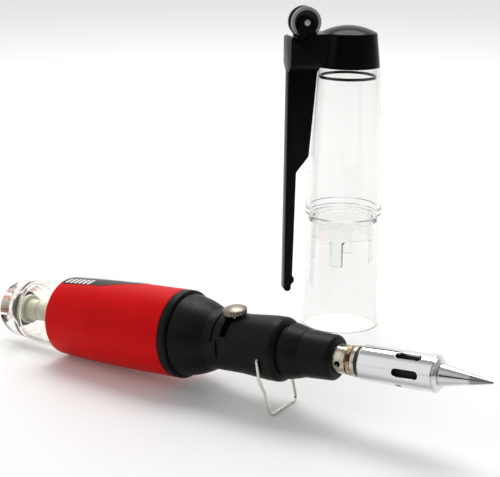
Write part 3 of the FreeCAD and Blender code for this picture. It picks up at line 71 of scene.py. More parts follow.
def torch_frame():
    joint = JOINTS["gas_control_turn"]
    axis = Vector(joint["axis"]).normalized()
    side = Vector((0, 1, 0))
    return frame_matrix(axis, axis.cross(side), Vector(joint["pos_m"]) - axis * CONTROL_X * MM)


def cap_frame():
    joint = JOINTS["flint_wheel_turn"]
    up = Vector((0, 0, 1))
    outward = Vector(joint["axis"]).normalized().cross(up)
    foot = Vector(joint["pos_m"]) - outward * WHEEL_X * MM
    foot.z = 0
    return frame_matrix(outward, up, foot)


def placed(x, z, degrees, axis):
    """A place in a group: moved along x and z, in millimetres, then turned about its own axis."""
    return Matrix.Translation((x * MM, 0, z * MM)) @ Matrix.Rotation(math.radians(degrees), 4, axis)


TORCH = torch_frame()
CAP = cap_frame()
LEVER = TORCH @ placed(CONTROL_X, 0, LEVER_LEAN, "X")
WHEEL = CAP @ placed(WHEEL_X, WHEEL_Z, 90, "Z")


# ---- Materials -----------------------------------------------


class Shader:
    """A Principled material, and helpers that add procedural detail in the piece's own metres."""

    def __init__(self, name, colour, roughness, metallic=0.0, **sockets):
        self.material = bpy.data.materials.new(name)
        self.material.use_nodes = True
        self.nodes = self.material.node_tree.nodes
        self.links = self.material.node_tree.links
        self.bsdf = self.nodes["Principled BSDF"]
        self.bsdf.inputs["Base Color"].default_value = (*colour, 1)
        self.bsdf.inputs["Roughness"].default_value = roughness
        self.bsdf.inputs["Metallic"].default_value = metallic
        for socket, value in sockets.items():
            self.bsdf.inputs[socket.replace("_", " ")].default_value = value
        self.where = None

    def coordinates(self):
        if self.where is None:
            self.where = self.nodes.new("ShaderNodeTexCoord")
        return self.where.outputs["Object"]

    def noise(self, size_mm, detail):
        """Noise whose features are about size_mm across."""
        noise = self.nodes.new("ShaderNodeTexNoise")
        noise.inputs["Scale"].default_value = 1 / (size_mm * MM)
        noise.inputs["Detail"].default_value = detail
        self.links.new(self.coordinates(), noise.inputs["Vector"])
        return noise.outputs["Fac"]

    def bands(self, pitch_mm, distortion):
        """Fine turning lines across x, about pitch_mm apart."""
        wave = self.nodes.new("ShaderNodeTexWave")
        wave.inputs["Scale"].default_value = 0.314 / (pitch_mm * MM)
        wave.inputs["Distortion"].default_value = distortion
        self.links.new(self.coordinates(), wave.inputs["Vector"])
        return wave.outputs["Fac"]

    def ramp(self, factor, stops):
        """Colours along a factor. A stop is (position, colour)."""
        ramp = self.nodes.new("ShaderNodeValToRGB")
        elements = ramp.color_ramp.elements
        while len(elements) < len(stops):
            elements.new(0.5)
        for element, (position, colour) in zip(elements, stops):
            element.position = position
            element.color = (*colour, 1)
        self.links.new(factor, ramp.inputs["Fac"])
        return ramp.outputs["Color"]

    def spread(self, factor, low, high):
        """Stretches the middle of a noise to run from low to high."""
        span = self.nodes.new("ShaderNodeMapRange")
        span.inputs["From Min"].default_value = 0.3
        span.inputs["From Max"].default_value = 0.7
        span.inputs["To Min"].default_value = low
        span.inputs["To Max"].default_value = high
        self.links.new(factor, span.inputs["Value"])
        return span.outputs["Result"]

    def rough(self, factor, low, high):
        self.links.new(self.spread(factor, low, high), self.bsdf.inputs["Roughness"])
        return self

    def tint(self, factor, stops):
        self.links.new(self.ramp(factor, stops), self.bsdf.inputs["Base Color"])
        return self

    def bump(self, height, depth_mm):
        bump = self.nodes.new("ShaderNodeBump")
        bump.inputs["Distance"].default_value = depth_mm * MM
        self.links.new(height, bump.inputs["Height"])
        earlier = self.bsdf.inputs["Normal"]
        if earlier.is_linked:
            self.links.new(earlier.links[0].from_socket, bump.inputs["Normal"])
        self.links.new(bump.outputs["Normal"], earlier)
        return self

    def let_lamps_through(self, colour):
        """Lets lamps shine through the clear plastic, so that it doesn't shade what is in it."""
        output = self.nodes["Material Output"]
        path = self.nodes.new("ShaderNodeLightPath")
        clear = self.nodes.new("ShaderNodeBsdfTransparent")
        clear.inputs["Color"].default_value = (*colour, 1)
        mix = self.nodes.new("ShaderNodeMixShader")
        self.links.new(path.outputs["Is Shadow Ray"], mix.inputs["Fac"])
        self.links.new(self.bsdf.outputs["BSDF"], mix.inputs[1])
        self.links.new(clear.outputs["BSDF"], mix.inputs[2])
        self.links.new(mix.outputs["Shader"], output.inputs["Surface"])
        return self


def clear_plastic(name, tint, index):
    shader = Shader(name, tint, 0.02, Transmission_Weight=1.0, IOR=index)
    shader.bump(shader.noise(6.0, 1.0), 0.02)
    shader.rough(shader.noise(3.0, 4.0), 0.01, 0.035)
    return shader.let_lamps_through((0.93, 0.935, 0.93)).material


def grip_lacquer():
    shader = Shader("grip_lacquer", (0.66, 0.002, 0.003), 0.45, Specular_IOR_Level=0.07)
    reds = [(0.35, (0.63, 0.0018, 0.003)), (0.65, (0.69, 0.0026, 0.004))]
    shader.tint(shader.noise(9.0, 4.0), reds)
    shader.rough(shader.noise(2.2, 5.0), 0.38, 0.47)
    shader.bump(shader.noise(0.16, 2.0), 0.004)
    return shader.material


def black_plastic(name, level=0.0040, low=0.36, high=0.46, specular=0.12):
    shader = Shader(name, (level, level, level), 0.4, Specular_IOR_Level=specular)
    worn = (level * 1.5, level * 1.45, level * 1.35)
    shader.tint(shader.noise(7.0, 5.0), [(0.3, (level * 0.8,) * 3), (0.7, worn)])
    shader.rough(shader.noise(1.4, 5.0), low, high)
    shader.bump(shader.noise(0.12, 3.0), 0.006)
    return shader.material


def plated_metal(name, colour, low, high, lines_mm=None):
    shader = Shader(name, colour, low, metallic=1.0)
    shader.rough(shader.noise(2.0, 6.0), low, high)
    shader.bump(shader.noise(1.1, 3.0), 0.0015)
    if lines_mm:
        shader.bump(shader.bands(lines_mm, 0.4), 0.0016)
    return shader.material


def burner_nickel():
    shader = Shader("burner_nickel", (0.72, 0.66, 0.54), 0.2, metallic=1.0)
    warm = [(0.30, (0.36, 0.29, 0.19)), (0.48, (0.53, 0.50, 0.42)), (0.7, (0.62, 0.60, 0.54))]
    shader.tint(shader.noise(2.4, 5.0), warm)
    shader.rough(shader.noise(0.9, 5.0), 0.14, 0.30)
    shader.bump(shader.bands(0.11, 0.5), 0.002)
    return shader.material


def copper_wire():
    shader = Shader("copper_wire", (0.55, 0.26, 0.11), 0.3, metallic=1.0)
    burnt = [(0.36, (0.10, 0.050, 0.025)), (0.52, (0.38, 0.24, 0.14)), (0.68, (0.74, 0.64, 0.48))]
    shader.tint(shader.noise(1.6, 4.0), burnt)
    shader.rough(shader.noise(0.5, 4.0), 0.2, 0.42)
    return shader.material


TINNED_FROM = 91.0


def tip_iron():
    """Turned, iron plated copper: bright on the cone, darker on the tinned working end."""
    shader = Shader("tip_iron", (0.6, 0.6, 0.6), 0.3, metallic=1.0)
    split = shader.nodes.new("ShaderNodeSeparateXYZ")
    shader.links.new(shader.coordinates(), split.inputs["Vector"])
    along = shader.nodes.new("ShaderNodeMapRange")
    along.inputs["From Min"].default_value = TINNED_FROM * MM
    along.inputs["From Max"].default_value = (TINNED_FROM + 0.9) * MM
    shader.links.new(split.outputs["X"], along.inputs["Value"])
    shader.tint(along.outputs["Result"], [(0.0, (0.66, 0.655, 0.66)), (1.0, (0.30, 0.285, 0.28))])
    shader.rough(shader.noise(0.8, 5.0), 0.10, 0.17)
    shader.bump(shader.bands(0.09, 0.3), 0.0008)
    return shader.material


def label_film():
    shader = Shader("label_film", (0.010, 0.012, 0.010), 0.28, Specular_IOR_Level=0.12)
    shader.rough(shader.noise(1.5, 4.0), 0.18, 0.28)
    return shader.material


def label_print(name, colour):
    shader = Shader(name, colour, 0.3, Coat_Weight=0.6, Coat_Roughness=0.12)
    shader.rough(shader.noise(0.8, 4.0), 0.26, 0.36)
    return shader.material


def mottled(name, dark, light, roughness, size_mm):
    shader = Shader(name, light, roughness)
    shader.tint(shader.noise(size_mm, 4.0), [(0.35, dark), (0.65, light)])
    shader.bump(shader.noise(size_mm * 0.3, 3.0), 0.01)
    return shader.material


MATERIALS = {
    "clear_tank": clear_plastic("clear_tank", (0.975, 0.97, 0.94), 1.22),
    # The notch faces' red tint is a painted reflection of the red grip.
    "notch_painted_reflection": clear_plastic("notch_painted_reflection", (0.60, 0.27, 0.24), 1.10),
    "clear_cap": clear_plastic("clear_cap", (0.925, 0.93, 0.92), 1.45),
    "clear_insert": clear_plastic("clear_insert", (0.97, 0.975, 0.97), 1.30),
    "grip": grip_lacquer(),
    "black": black_plastic("black_plastic"),
    "black_gloss": black_plastic("black_gloss", 0.0022, 0.12, 0.19, 0.06),
    "label": label_film(),
    "print": label_print("label_print", (0.72, 0.73, 0.72)),
    "stripe": label_print("label_stripe", (0.42, 0.42, 0.41)),
    "chrome": plated_metal("tip_chrome", (0.72, 0.725, 0.745), 0.07, 0.12),
    # The knob's dark brown colour is a painted reddish-brown reflection on its nickel top.
    "knob": plated_metal("knob_nickel", (0.25, 0.225, 0.19), 0.26, 0.40),
    "wire": plated_metal("stand_wire", (0.74, 0.72, 0.66), 0.22, 0.34),
    "steel": plated_metal("wheel_steel", (0.27, 0.27, 0.265), 0.22, 0.38, 0.12),
    "axle": plated_metal("axle_pin", (0.40, 0.40, 0.39), 0.30, 0.42),
    # Near-black painted shade for the thumb wheels' faces, in place of the dark surroundings they
    # reflect.
    "wheel_face_painted_shade": plated_metal("wheel_face_painted_shade", (0.022, 0.022, 0.021), 0.26, 0.40),
    "spark": plated_metal("spark_steel", (0.24, 0.235, 0.23), 0.32, 0.5),
    "brass": plated_metal("turned_brass", (0.80, 0.60, 0.28), 0.2, 0.34, 0.12),
    "spring": plated_metal("spring_steel", (0.62, 0.62, 0.63), 0.2, 0.32),
    "burner": burner_nickel(),
    "copper": copper_wire(),
    "tip": tip_iron(),
    "rubber": mottled("seal_rubber", (0.010, 0.011, 0.011), (0.020, 0.021, 0.021), 0.55, 0.8),
    "valve": mottled("filler_plastic", (0.56, 0.54, 0.43), (0.70, 0.68, 0.57), 0.35, 4.0),
    "wick": mottled("wick_fibre", (0.62, 0.58, 0.48), (0.80, 0.77, 0.68), 0.9, 0.5),
    "catalyst": mottled("catalyst_ceramic", (0.008, 0.007, 0.006), (0.022, 0.019, 0.016), 0.85, 0.6),
    "mesh": plated_metal("flame_mesh", (0.07, 0.062, 0.055), 0.4, 0.6),
}


# ---- Mesh helpers --------------------------------------------


# Edges that turn by more degrees than this look sharp.
SHARP_ANGLE = 32


def bowed(here, there, bow, steps=20):
    """Points between two corners, on an arc of radius bow. It bulges to the left of the way there,
    or to the right if bow is negative."""
    chord = there - here
    height = math.sqrt(max(0.0, bow * bow - chord.length_squared / 4))
    left = Vector((-chord.y, chord.x)).normalized() * math.copysign(1, bow)
    centre = (here + there) / 2 - left * height
    start = math.atan2(here.y - centre.y, here.x - centre.x)
    sweep = math.atan2(there.y - centre.y, there.x - centre.x) - start
    sweep = (sweep + math.pi) % (2 * math.pi) - math.pi
    spots = [start + sweep * step / steps for step in range(1, steps)]
    return [centre + Vector((math.cos(spot), math.sin(spot))) * abs(bow) for spot in spots]


def trace(corners, steps=6):
    """A fine outline. A corner is (across, up), its rounding radius, and the bow of the side after
    it."""
    points = [Vector(corner[:2]) for corner in corners]
    count = len(corners)
    outline = []
    for number, corner in enumerate(corners):
        here = points[number]
        radius = corner[2] if len(corner) > 2 else 0
        if radius:
            back = (points[number - 1] - here).normalized()
            ahead = (points[(number + 1) % count] - here).normalized()
            half = back.angle(ahead) / 2
            reach = radius / math.tan(half)
            arc_start, arc_end = here + back * reach, here + ahead * reach
            turn = -radius if ahead.cross(back) > 0 else radius
            outline += [arc_start, *bowed(arc_start, arc_end, turn, steps), arc_end]
        else:
            outline.append(here)
        if len(corner) > 3:
            following = corners[(number + 1) % count]
            there = points[(number + 1) % count]
            next_radius = following[2] if len(following) > 2 else 0
            if next_radius:
                back = (here - there).normalized()
                ahead = (points[(number + 2) % count] - there).normalized()
                there = there + back * (next_radius / math.tan(back.angle(ahead) / 2))
            outline += bowed(outline[-1], there, corner[3])
    return outline


def strip(near, far):
    """Faces between two closed rings of vertex numbers."""
    return list(zip(near, near[1:] + near[:1], far[1:] + far[:1], far))


def rings(count, size):
    """Vertex numbers of rings of one size, one after another."""
    return [list(range(number * size, (number + 1) * size)) for number in range(count)]


def new_piece(name, vertices, faces, place, smooth_degrees=SHARP_ANGLE):
    """A mesh piece from vertices in millimetres, shaded smooth except along sharp edges."""
    mesh = bpy.data.meshes.new(name)
    mesh.from_pydata([Vector(vertex) * MM for vertex in vertices], [], faces)
    build = bmesh.new()
    build.from_mesh(mesh)
    bmesh.ops.remove_doubles(build, verts=build.verts, dist=1e-7)
    bmesh.ops.dissolve_degenerate(build, edges=build.edges, dist=1e-8)
    bmesh.ops.recalc_face_normals(build, faces=build.faces)
    build.to_mesh(mesh)
    build.free()
    piece = bpy.data.objects.new(name, mesh)
    bpy.context.scene.collection.objects.link(piece)
    piece.matrix_world = place
    shade(piece, smooth_degrees)
    return piece


def shade(piece, degrees):
    """Smooth shading, but for edges sharper than the angle."""
    piece.data.shade_smooth()
    piece.data.set_sharp_from_angle(angle=math.radians(degrees))


def finish_piece(piece, body, material, replaced):
    """Gives a piece its material, or materials, and its place in the frame."""
    materials = material if isinstance(material, list) else [material]
    for name in materials:
        piece.data.materials.append(MATERIALS[name])
    bpy.context.view_layer.update()
    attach(piece, body)
    if replaced:
        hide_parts(*replaced)


def apply_modifiers(piece):
    """Turns what the modifiers make into the piece's own mesh."""
    graph = bpy.context.evaluated_depsgraph_get()
    mesh = bpy.data.meshes.new_from_object(piece.evaluated_get(graph))
    piece.modifiers.clear()
    piece.data = mesh
    shade(piece, SHARP_ANGLE)


def bevelled(piece, width_mm, segments, limit):
    """Rounds a piece's sharp edges."""
    bevel = piece.modifiers.new("bevel", "BEVEL")
    bevel.width = width_mm * MM
    bevel.segments = segments
    bevel.limit_method = "ANGLE"
    bevel.angle_limit = math.radians(limit)
    apply_modifiers(piece)


def cut(piece, *cutters, operation="DIFFERENCE"):
    """Cuts other pieces out of a piece, or joins them to it, and deletes them."""
    for cutter in cutters:
        boolean = piece.modifiers.new("cut", "BOOLEAN")
        boolean.operation = operation
        boolean.solver = "EXACT"
        boolean.object = cutter
        apply_modifiers(piece)
        bpy.data.objects.remove(cutter, do_unlink=True)


def spun(
    name, outline, place, segments=0, axis="X", relief=None, columns=None, degrees=SHARP_ANGLE
):
    """An outline spun about an axis. About X a point is (x, radius), and about Z it is (radius, z).
    Angles run from the user's side upwards about X, and from x to y about Z. relief moves a point in
    or out."""
    angles = columns or [360 * number / segments for number in range(segments)]
    vertices, faces = [], []
    for angle in angles:
        turn = math.radians(angle)
        for point in outline:
            along, radius = point if axis == "X" else reversed(point)
            radius = relief(along, angle, radius) if relief else radius
            across, up = radius * math.cos(turn), radius * math.sin(turn)
            vertices.append((along, -across, up) if axis == "X" else (across, up, along))
    profiles = rings(len(angles), len(outline))
    for near, far in zip(profiles, profiles[1:] + profiles[:1]):
        faces += strip(near, far)
    return new_piece(name, vertices, faces, place, degrees)


def turned(name, corners, place, segments, body, material, replaced, slot, steps=6, **spinning):
    """A finished piece: an outline's corners, spun about an axis."""
    piece = spun(name, trace(corners, steps), place, segments, **spinning)
    finish_piece(piece, body, material, replaced)


def extruded(name, outline, half_width, place, offset=0.0):
    """An outline in the plane of x and z, made thick to both sides along y."""
    count = len(outline)
    vertices = []
    for side in (-half_width, half_width):
        vertices += [(point[0], offset + side, point[1]) for point in outline]
    near, far = rings(2, count)
    faces = [tuple(near), tuple(far[::-1]), *strip(near, far)]
    return new_piece(name, vertices, faces, place)


def swept(name, path, radius, place, sides):
    """A round wire along a path of points, in millimetres."""
    points = [Vector(point) for point in path]
    tangents = []
    for number in range(len(points)):
        before = points[max(0, number - 1)]
        after = points[min(len(points) - 1, number + 1)]
        tangents.append((after - before).normalized())
    normal = tangents[0].orthogonal().normalized()
    vertices, faces = [], []
    for number, point in enumerate(points):
        tangent = tangents[number]
        normal = (normal - tangent * normal.dot(tangent)).normalized()
        other = tangent.cross(normal)
        for side in range(sides):
            turn = 2 * math.pi * side / sides
            vertices.append(point + (normal * math.cos(turn) + other * math.sin(turn)) * radius)
    sections = rings(len(points), sides)
    for near, far in zip(sections, sections[1:]):
        faces += strip(near, far)
    faces += [tuple(sections[0]), tuple(sections[-1][::-1])]
    return new_piece(name, vertices, faces, place, 50)


def bent_path(corners, steps=8):
    """Points along straight runs joined by arcs. A corner is (x, y, z, bend radius)."""
    points = [Vector(corner[:3]) for corner in corners]
    path = [points[0]]
    for number in range(1, len(corners) - 1):
        here, bend = points[number], corners[number][3]
        back = (points[number - 1] - here).normalized()
        ahead = (points[number + 1] - here).normalized()
        half = back.angle(ahead) / 2
        reach = bend / math.tan(half)
        middle = here + (back + ahead).normalized() * (bend / math.sin(half))
        start, end = here + back * reach - middle, here + ahead * reach - middle
        sweep = start.angle(end)
        for step in range(steps + 1):
            share = step / steps
            spot = start * math.sin((1 - share) * sweep) + end * math.sin(share * sweep)
            path.append(middle + spot / math.sin(sweep))
    path.append(points[-1])
    return path


def windowed_tube(name, ends, radius_at, windows, wall, place, bevel_mm):
    """A tube with a ring of obround windows. windows is (middle, half length, half width, count,
    first angle, margin): their place along x, their size, and how far the fine mesh round them
    reaches. bevel_mm rounds their edges."""
    middle, half_length, half_width, count, first, margin = windows
    core = half_length - half_width
    span, around = 360 / count, 20
    low, high = middle - half_length - margin, middle + half_length + margin
    row_mm, plain_mm = 0.35, 0.3
    rows = max(4, round((high - low) / row_mm))
    vertices, faces = [], []

    def add(x, angle):
        radius, turn = radius_at(x), math.radians(angle)
        vertices.append((x, -radius * math.cos(turn), radius * math.sin(turn)))
        return len(vertices) - 1

    for number in range(count):
        centre = first + span * number
        left, right = centre - span / 2, centre + span / 2
        border = [(low + (high - low) * row / rows, left) for row in range(rows)]
        border += [(high, left + span * column / around) for column in range(around)]
        border += [(high - (high - low) * row / rows, right) for row in range(rows)]
        border += [(low, right - span * column / around) for column in range(around)]
        arc_mm = math.radians(1) * radius_at(middle)
        # Loops of points from the window's edge out to the border of its part of the side.
        loops = []
        for share in (0.0, 0.10, 0.24, 0.45, 0.7, 1.0):
            loop = []
            for x, angle in border:
                across, along = (angle - centre) * arc_mm, x - middle
                heart = max(-core, min(core, along))
                reach = math.hypot(along - heart, across)
                edge = (heart + (along - heart) / reach * half_width, across / reach * half_width)
                spot = (edge[0] + (along - edge[0]) * share, edge[1] + (across - edge[1]) * share)
                loop.append(add(middle + spot[0], centre + spot[1] / arc_mm))
            loops.append(loop)
        for inner, outer in zip(loops, loops[1:]):
            faces.extend(strip(inner, outer))

    def plain(start, end):
        """The tube's side without windows, from one place to another."""
        steps = max(1, round(abs(end - start) / plain_mm))
        total = count * around
        angles = [first - span / 2 + span * column / around for column in range(total)]
        places = [start + (end - start) * step / steps for step in range(steps + 1)]
        grid = [[add(along, angle) for angle in angles] for along in places]
        for near, far in zip(grid, grid[1:]):
            faces.extend(strip(near, far))

    if ends[0] < low:
        plain(ends[0], low)
    if ends[1] > high:
        plain(high, ends[1])
    piece = new_piece(name, vertices, faces, place)
    outward_normals(piece)
    thick = piece.modifiers.new("wall", "SOLIDIFY")
    thick.thickness = wall * MM
    thick.offset = -1
    apply_modifiers(piece)
    bevelled(piece, bevel_mm, 3, 50)
    return piece


def outward_normals(piece):
    """Turns the faces of an open tube about x outwards."""
    build = bmesh.new()
    build.from_mesh(piece.data)
    middles = [face.calc_center_median() for face in build.faces]
    facing = sum(face.normal.yz.dot(middle.yz) for face, middle in zip(build.faces, middles))
    if facing < 0:
        bmesh.ops.reverse_faces(build, faces=build.faces)
    build.to_mesh(piece.data)
    build.free()


def show(node, material):
    """Keeps a CAD node as it is, with a better material."""
    item = frame["nodes"][node]
    for slot in item.material_slots:
        slot.material = MATERIALS[material]
    if not item.material_slots:
        item.data.materials.append(MATERIALS[material])


# ---- Fuel tank and filler ------------------------------------


# Notches round the tank's rear end. Their faces have a red tint of their own, a painted reflection
# of the red grip that shows in them.
NOTCHES, FIRST_NOTCH, NOTCH_FLOOR, NOTCH_FRONT, NOTCH_HALF = 5, 65.0, 7.4, -67.2, 0.55
NOTCH_PITCH, NOTCH_RIM, NEAR_MM = 360 / NOTCHES, 8.6, 0.05


def on_a_notch(place):
    """Whether a place on the tank, in millimetres, is on the sides or floor of a notch."""
    x, y, z = place
    radius, turn = math.hypot(y, z), math.degrees(math.atan2(z, -y))
    beside = (turn - FIRST_NOTCH + NOTCH_PITCH / 2) % NOTCH_PITCH - NOTCH_PITCH / 2
    within = abs(math.radians(beside)) * radius < NOTCH_HALF + NEAR_MM
    return within and x < NOTCH_FRONT + NEAR_MM and radius < NOTCH_RIM


def make_fuel_tank():
    corners = [
        (-3.0, 9.9), (-3.0, 11.4), (-50.0, 11.4, 0, -140.0), (-66.5, 9.3, 0, -7.4),
        (-74.6, 4.3, 0.25), (-74.6, 3.1, 0.15), (-72.2, 3.1), (-72.2, 2.65), (-68.8, 2.65),
        (-68.8, 6.6, 0.5), (-63.0, 8.7, 0.4), (-63.0, 8.2, 0.1), (-62.2, 8.2, 0.1),
        (-62.2, 8.9, 0.3), (-50.0, 9.9),
    ]
    tank = spun("clear_fuel_tank", trace(corners), TORCH, 192)
    notches = []
    for number in range(NOTCHES):
        turn = math.radians(90 - FIRST_NOTCH - NOTCH_PITCH * number)
        spot = TORCH @ Matrix.Rotation(turn, 4, "X")
        low, high = (-79.2, NOTCH_FLOOR), (NOTCH_FRONT, 12.4)
        outline = [low, (high[0], low[1]), high, (low[0], high[1])]
        notches.append(extruded(f"notch_{number}", outline, NOTCH_HALF, spot))
    cut(tank, *notches)
    finish_piece(tank, "torch", ["clear_tank", "notch_painted_reflection"], ["fuel_tank"])
    # Faces on a notch get the painted reflection of the red grip.
    for face in tank.data.polygons:
        face.material_index = 1 if on_a_notch(face.center / MM) else 0


def make_filler():
    corners = [
        (-73.9, 1.3, 0.1), (-73.9, 2.6, 0.3), (-67.0, 2.6), (-67.0, 4.3, 0.15), (-65.9, 4.3, 0.15),
        (-65.9, 4.8, 0.25), (-64.6, 4.8, 0.35), (-64.6, 3.3, 0.2), (-60.3, 3.3, 0.05), (-60.3, 3.1),
        (-59.9, 3.1), (-59.9, 3.3, 0.05), (-38.0, 3.3, 0.3), (-38.0, 1.0), (-39.4, 1.0),
        (-39.4, 2.2), (-69.5, 2.2), (-69.5, 1.3),
    ]
    turned(
        "filler_valve", corners, TORCH, 96, "torch", "valve", ["filler_valve_body"], "filler_white"
    )
    corners = [(-68.8, 2.65), (-68.8, 5.8, 0.35), (-67.0, 5.8, 0.5), (-67.0, 2.65)]
    turned(
        "filler_gasket", corners, TORCH, 96, "torch", "rubber", ["filler_valve_gasket"],
        "seal_rubber"
    )
    corners = [
        (-74.3, 0.45, 0.1), (-74.3, 1.22, 0.25), (-68.9, 1.22), (-68.9, 2.1, 0.1),
        (-67.4, 2.1, 0.1), (-67.4, 1.0, 0.1), (-63.0, 1.0, 0.3), (-63.0, 0.0), (-68.9, 0.0),
        (-68.9, 0.45),
    ]
    turned(
        "filler_stem_tube", corners, TORCH, 64, "filler_stem", "brass", ["filler_stem"],
        "filler_brass"
    )


# ---- Grip ----------------------------------------------------


GRIP_REAR, GRIP_FRONT, GRIP_FULL = -48.5, -2.95, -16.5
GRIP_RADIUS, GRIP_REAR_RADIUS, GRIP_BOW = 13.5, 12.4, 441.0
LABEL_REAR, LABEL_BEND, LABEL_FRONT, LABEL_FAR = -47.4, -31.0, -18.5, 140


def grip_radius(along):
    """Radius of the grip's bowed side at a place along it."""
    if along >= GRIP_FULL:
        return GRIP_RADIUS
    here, there = Vector((GRIP_REAR, GRIP_REAR_RADIUS)), Vector((GRIP_FULL, GRIP_RADIUS))
    chord = there - here
    inward = Vector((chord.y, -chord.x)).normalized()
    centre = (here + there) / 2 + inward * math.sqrt(GRIP_BOW**2 - chord.length_squared / 4)
    return centre.y + math.sqrt(GRIP_BOW**2 - (along - centre.x) ** 2)


def make_grip():
    corners = [
        (GRIP_REAR, 11.45), (GRIP_FRONT, 11.45), (GRIP_FRONT, GRIP_RADIUS, 0.2),
        (GRIP_FULL, GRIP_RADIUS, 0, -GRIP_BOW), (GRIP_REAR, GRIP_REAR_RADIUS, 0.8),
    ]
    turned("grip_sleeve_red", corners, TORCH, 256, "torch", "grip", ["grip_sleeve"], "grip_red")
    corners = [(-2.9, 11.45), (-2.9, 13.5, 0.25), (-0.1, 13.5, 0.8), (-0.1, 11.45)]
    turned("collar_black", corners, TORCH, 256, "torch", "black", ["collar_ring"], "black_plastic")


# How far the label's near edge is from the grip's top line at its bend, towards the user, and how
# much further for each millimetre behind the bend and in front of it.
EDGE_AT_BEND, EDGE_BEHIND, EDGE_IN_FRONT = 3.6, 0.4 / 18.4, -5.5 / 14.5


def near_edge(along):
    """Angle of the label's near edge, from the user's side upwards."""
    slope = EDGE_BEHIND if along < LABEL_BEND else EDGE_IN_FRONT
    across = EDGE_AT_BEND + slope * abs(along - LABEL_BEND)
    return 90 - math.degrees(math.asin(across / grip_radius(along)))


def label_patch(name, corners, lift, material, steps):
    """A thin film on the grip between four corners (along, angle): rear near, front near, front far,
    rear far. The label's own near edge follows near_edge."""
    vertices, faces = [], []
    columns, rows = steps
    for layer in (lift - 0.03, lift):
        for column in range(columns + 1):
            for row in range(rows + 1):
                u, v = column / columns, row / rows
                near = [corners[0][k] * (1 - u) + corners[1][k] * u for k in (0, 1)]
                far = [corners[3][k] * (1 - u) + corners[2][k] * u for k in (0, 1)]
                along, angle = (near[k] * (1 - v) + far[k] * v for k in (0, 1))
                if material == "label" and v == 0:
                    angle = near_edge(along)
                radius, turn = grip_radius(along) + layer, math.radians(angle)
                vertices.append((along, -radius * math.cos(turn), radius * math.sin(turn)))
    layer_size = (columns + 1) * (rows + 1)

    def index(layer, column, row):
        return layer * layer_size + column * (rows + 1) + row

    cell = ((0, 0), (1, 0), (1, 1), (0, 1))
    for column in range(columns):
        for row in range(rows):
            for layer in (0, 1):
                faces.append(tuple(index(layer, column + a, row + b) for a, b in cell))
        for row in (0, rows):
            faces.append(tuple(index(a, column + b, row) for a, b in cell[::-1]))
    for row in range(rows):
        for column in (0, columns):
            faces.append(tuple(index(a, column, row + b) for a, b in cell[::-1]))
    return new_piece(name, vertices, faces, TORCH)


def make_label():
    """A black film with plain bars and a stripe in place of its print."""
    corners = [(place, near_edge(place)) for place in (LABEL_REAR, LABEL_FRONT)]
    corners += [(LABEL_FRONT, LABEL_FAR), (LABEL_REAR, LABEL_FAR)]
    film = label_patch("label_film", corners, 0.07, "label", (64, 32))
    finish_piece(film, "torch", "label", ["sleeve_label"])
    for number in range(6):
        rear = -46.4 + number * 1.8
        corners = [(rear, 74.5), (rear + 1.1, 74.5), (rear + 1.7, 88), (rear + 0.6, 88)]
        bar = label_patch(f"label_bar_{number}", corners, 0.095, "print", (4, 12))
        finish_piece(bar, "torch", "print", ())
    corners = [(-44.0, 98), (-22.0, 98), (-22.0, 126), (-44.0, 126)]
    stripe = label_patch("label_stripe", corners, 0.09, "stripe", (48, 16))
    finish_piece(stripe, "torch", "stripe", ())


# ---- Front housing and gas lever -----------------------------


# The housing's slot for the gas lever, the fine line behind it, and the flats beside the stand:
# their ends along the axis, and the angles or heights that bound them.
SLOT, SLOT_ANGLES, SLOT_FLOOR = (16.2, 18.6), (27, 97), 7.0
LINE, LINE_ANGLES, LINE_DEPTH = (13.1, 13.7), (12, 100), 0.5
FLATS, FLAT_BOTTOM, FLAT_TOP, FLAT_HALF = (15.0, 32.0), -12.0, 2.8, 8.2
HOUSING_SKIN = 8.0


def housing_outline():
    """The housing's outline, with extra points at the edges of its slot, line and flats."""
    corners = [
        (-2.95, 9.3), (-2.95, 11.4), (0.1, 11.4), (0.1, 12.5, 0.15, 26.0), (10.4, 9.15, 0, -13.0),
        (13.4, 8.85), (21.0, 8.85), (30.0, 9.5), (35.0, 9.5, 2.0), (35.0, 4.3), (33.2, 4.3),
        (33.2, 6.9), (12.0, 6.9), (0.1, 9.3),
    ]
    outline = trace(corners, steps=10)
    edges = []
    for place in (*LINE, *SLOT, *FLATS):
        edges += [place - 0.04, place, place + 0.04]
    edges += [14.4, 15.6, 17.4, 19.2, 22.0, 23.5, 25.0, 26.5, 28.0, 29.0, 31.0, 33.0]
    finished = []
    for number, point in enumerate(outline):
        finished.append(point)
        following = outline[(number + 1) % len(outline)]
        if following.x > point.x and point.y > HOUSING_SKIN:
            for place in sorted(edges):
                if point.x < place < following.x:
                    share = (place - point.x) / (following.x - point.x)
                    finished.append(point.lerp(following, share))
    return finished


def housing_columns():
    """Angles round the housing, finer at the ends of its slot and line."""
    columns = [360 * number / 240 for number in range(240)]
    for edge in (*SLOT_ANGLES, *LINE_ANGLES):
        columns += [edge - 0.25, edge, edge + 0.25]
    return sorted(set(columns))


def flattened(vertex):
    """Moves a point of the housing's side in to the flat beside the stand."""
    x, y, z = vertex
    outside = math.hypot(y, z) > HOUSING_SKIN and abs(y) > FLAT_HALF
    if outside and FLATS[0] <= x <= FLATS[1] and FLAT_BOTTOM < z < FLAT_TOP:
        return Vector((x, math.copysign(FLAT_HALF, y), z))
    return vertex


def housing_relief(along, angle, radius):
    """Cuts the slot and the line into the housing's side."""
    if radius < HOUSING_SKIN:
        return radius
    if LINE[0] <= along <= LINE[1] and LINE_ANGLES[0] <= angle <= LINE_ANGLES[1]:
        return radius - LINE_DEPTH
    if SLOT[0] <= along <= SLOT[1] and SLOT_ANGLES[0] <= angle <= SLOT_ANGLES[1]:
        return SLOT_FLOOR
    return radius


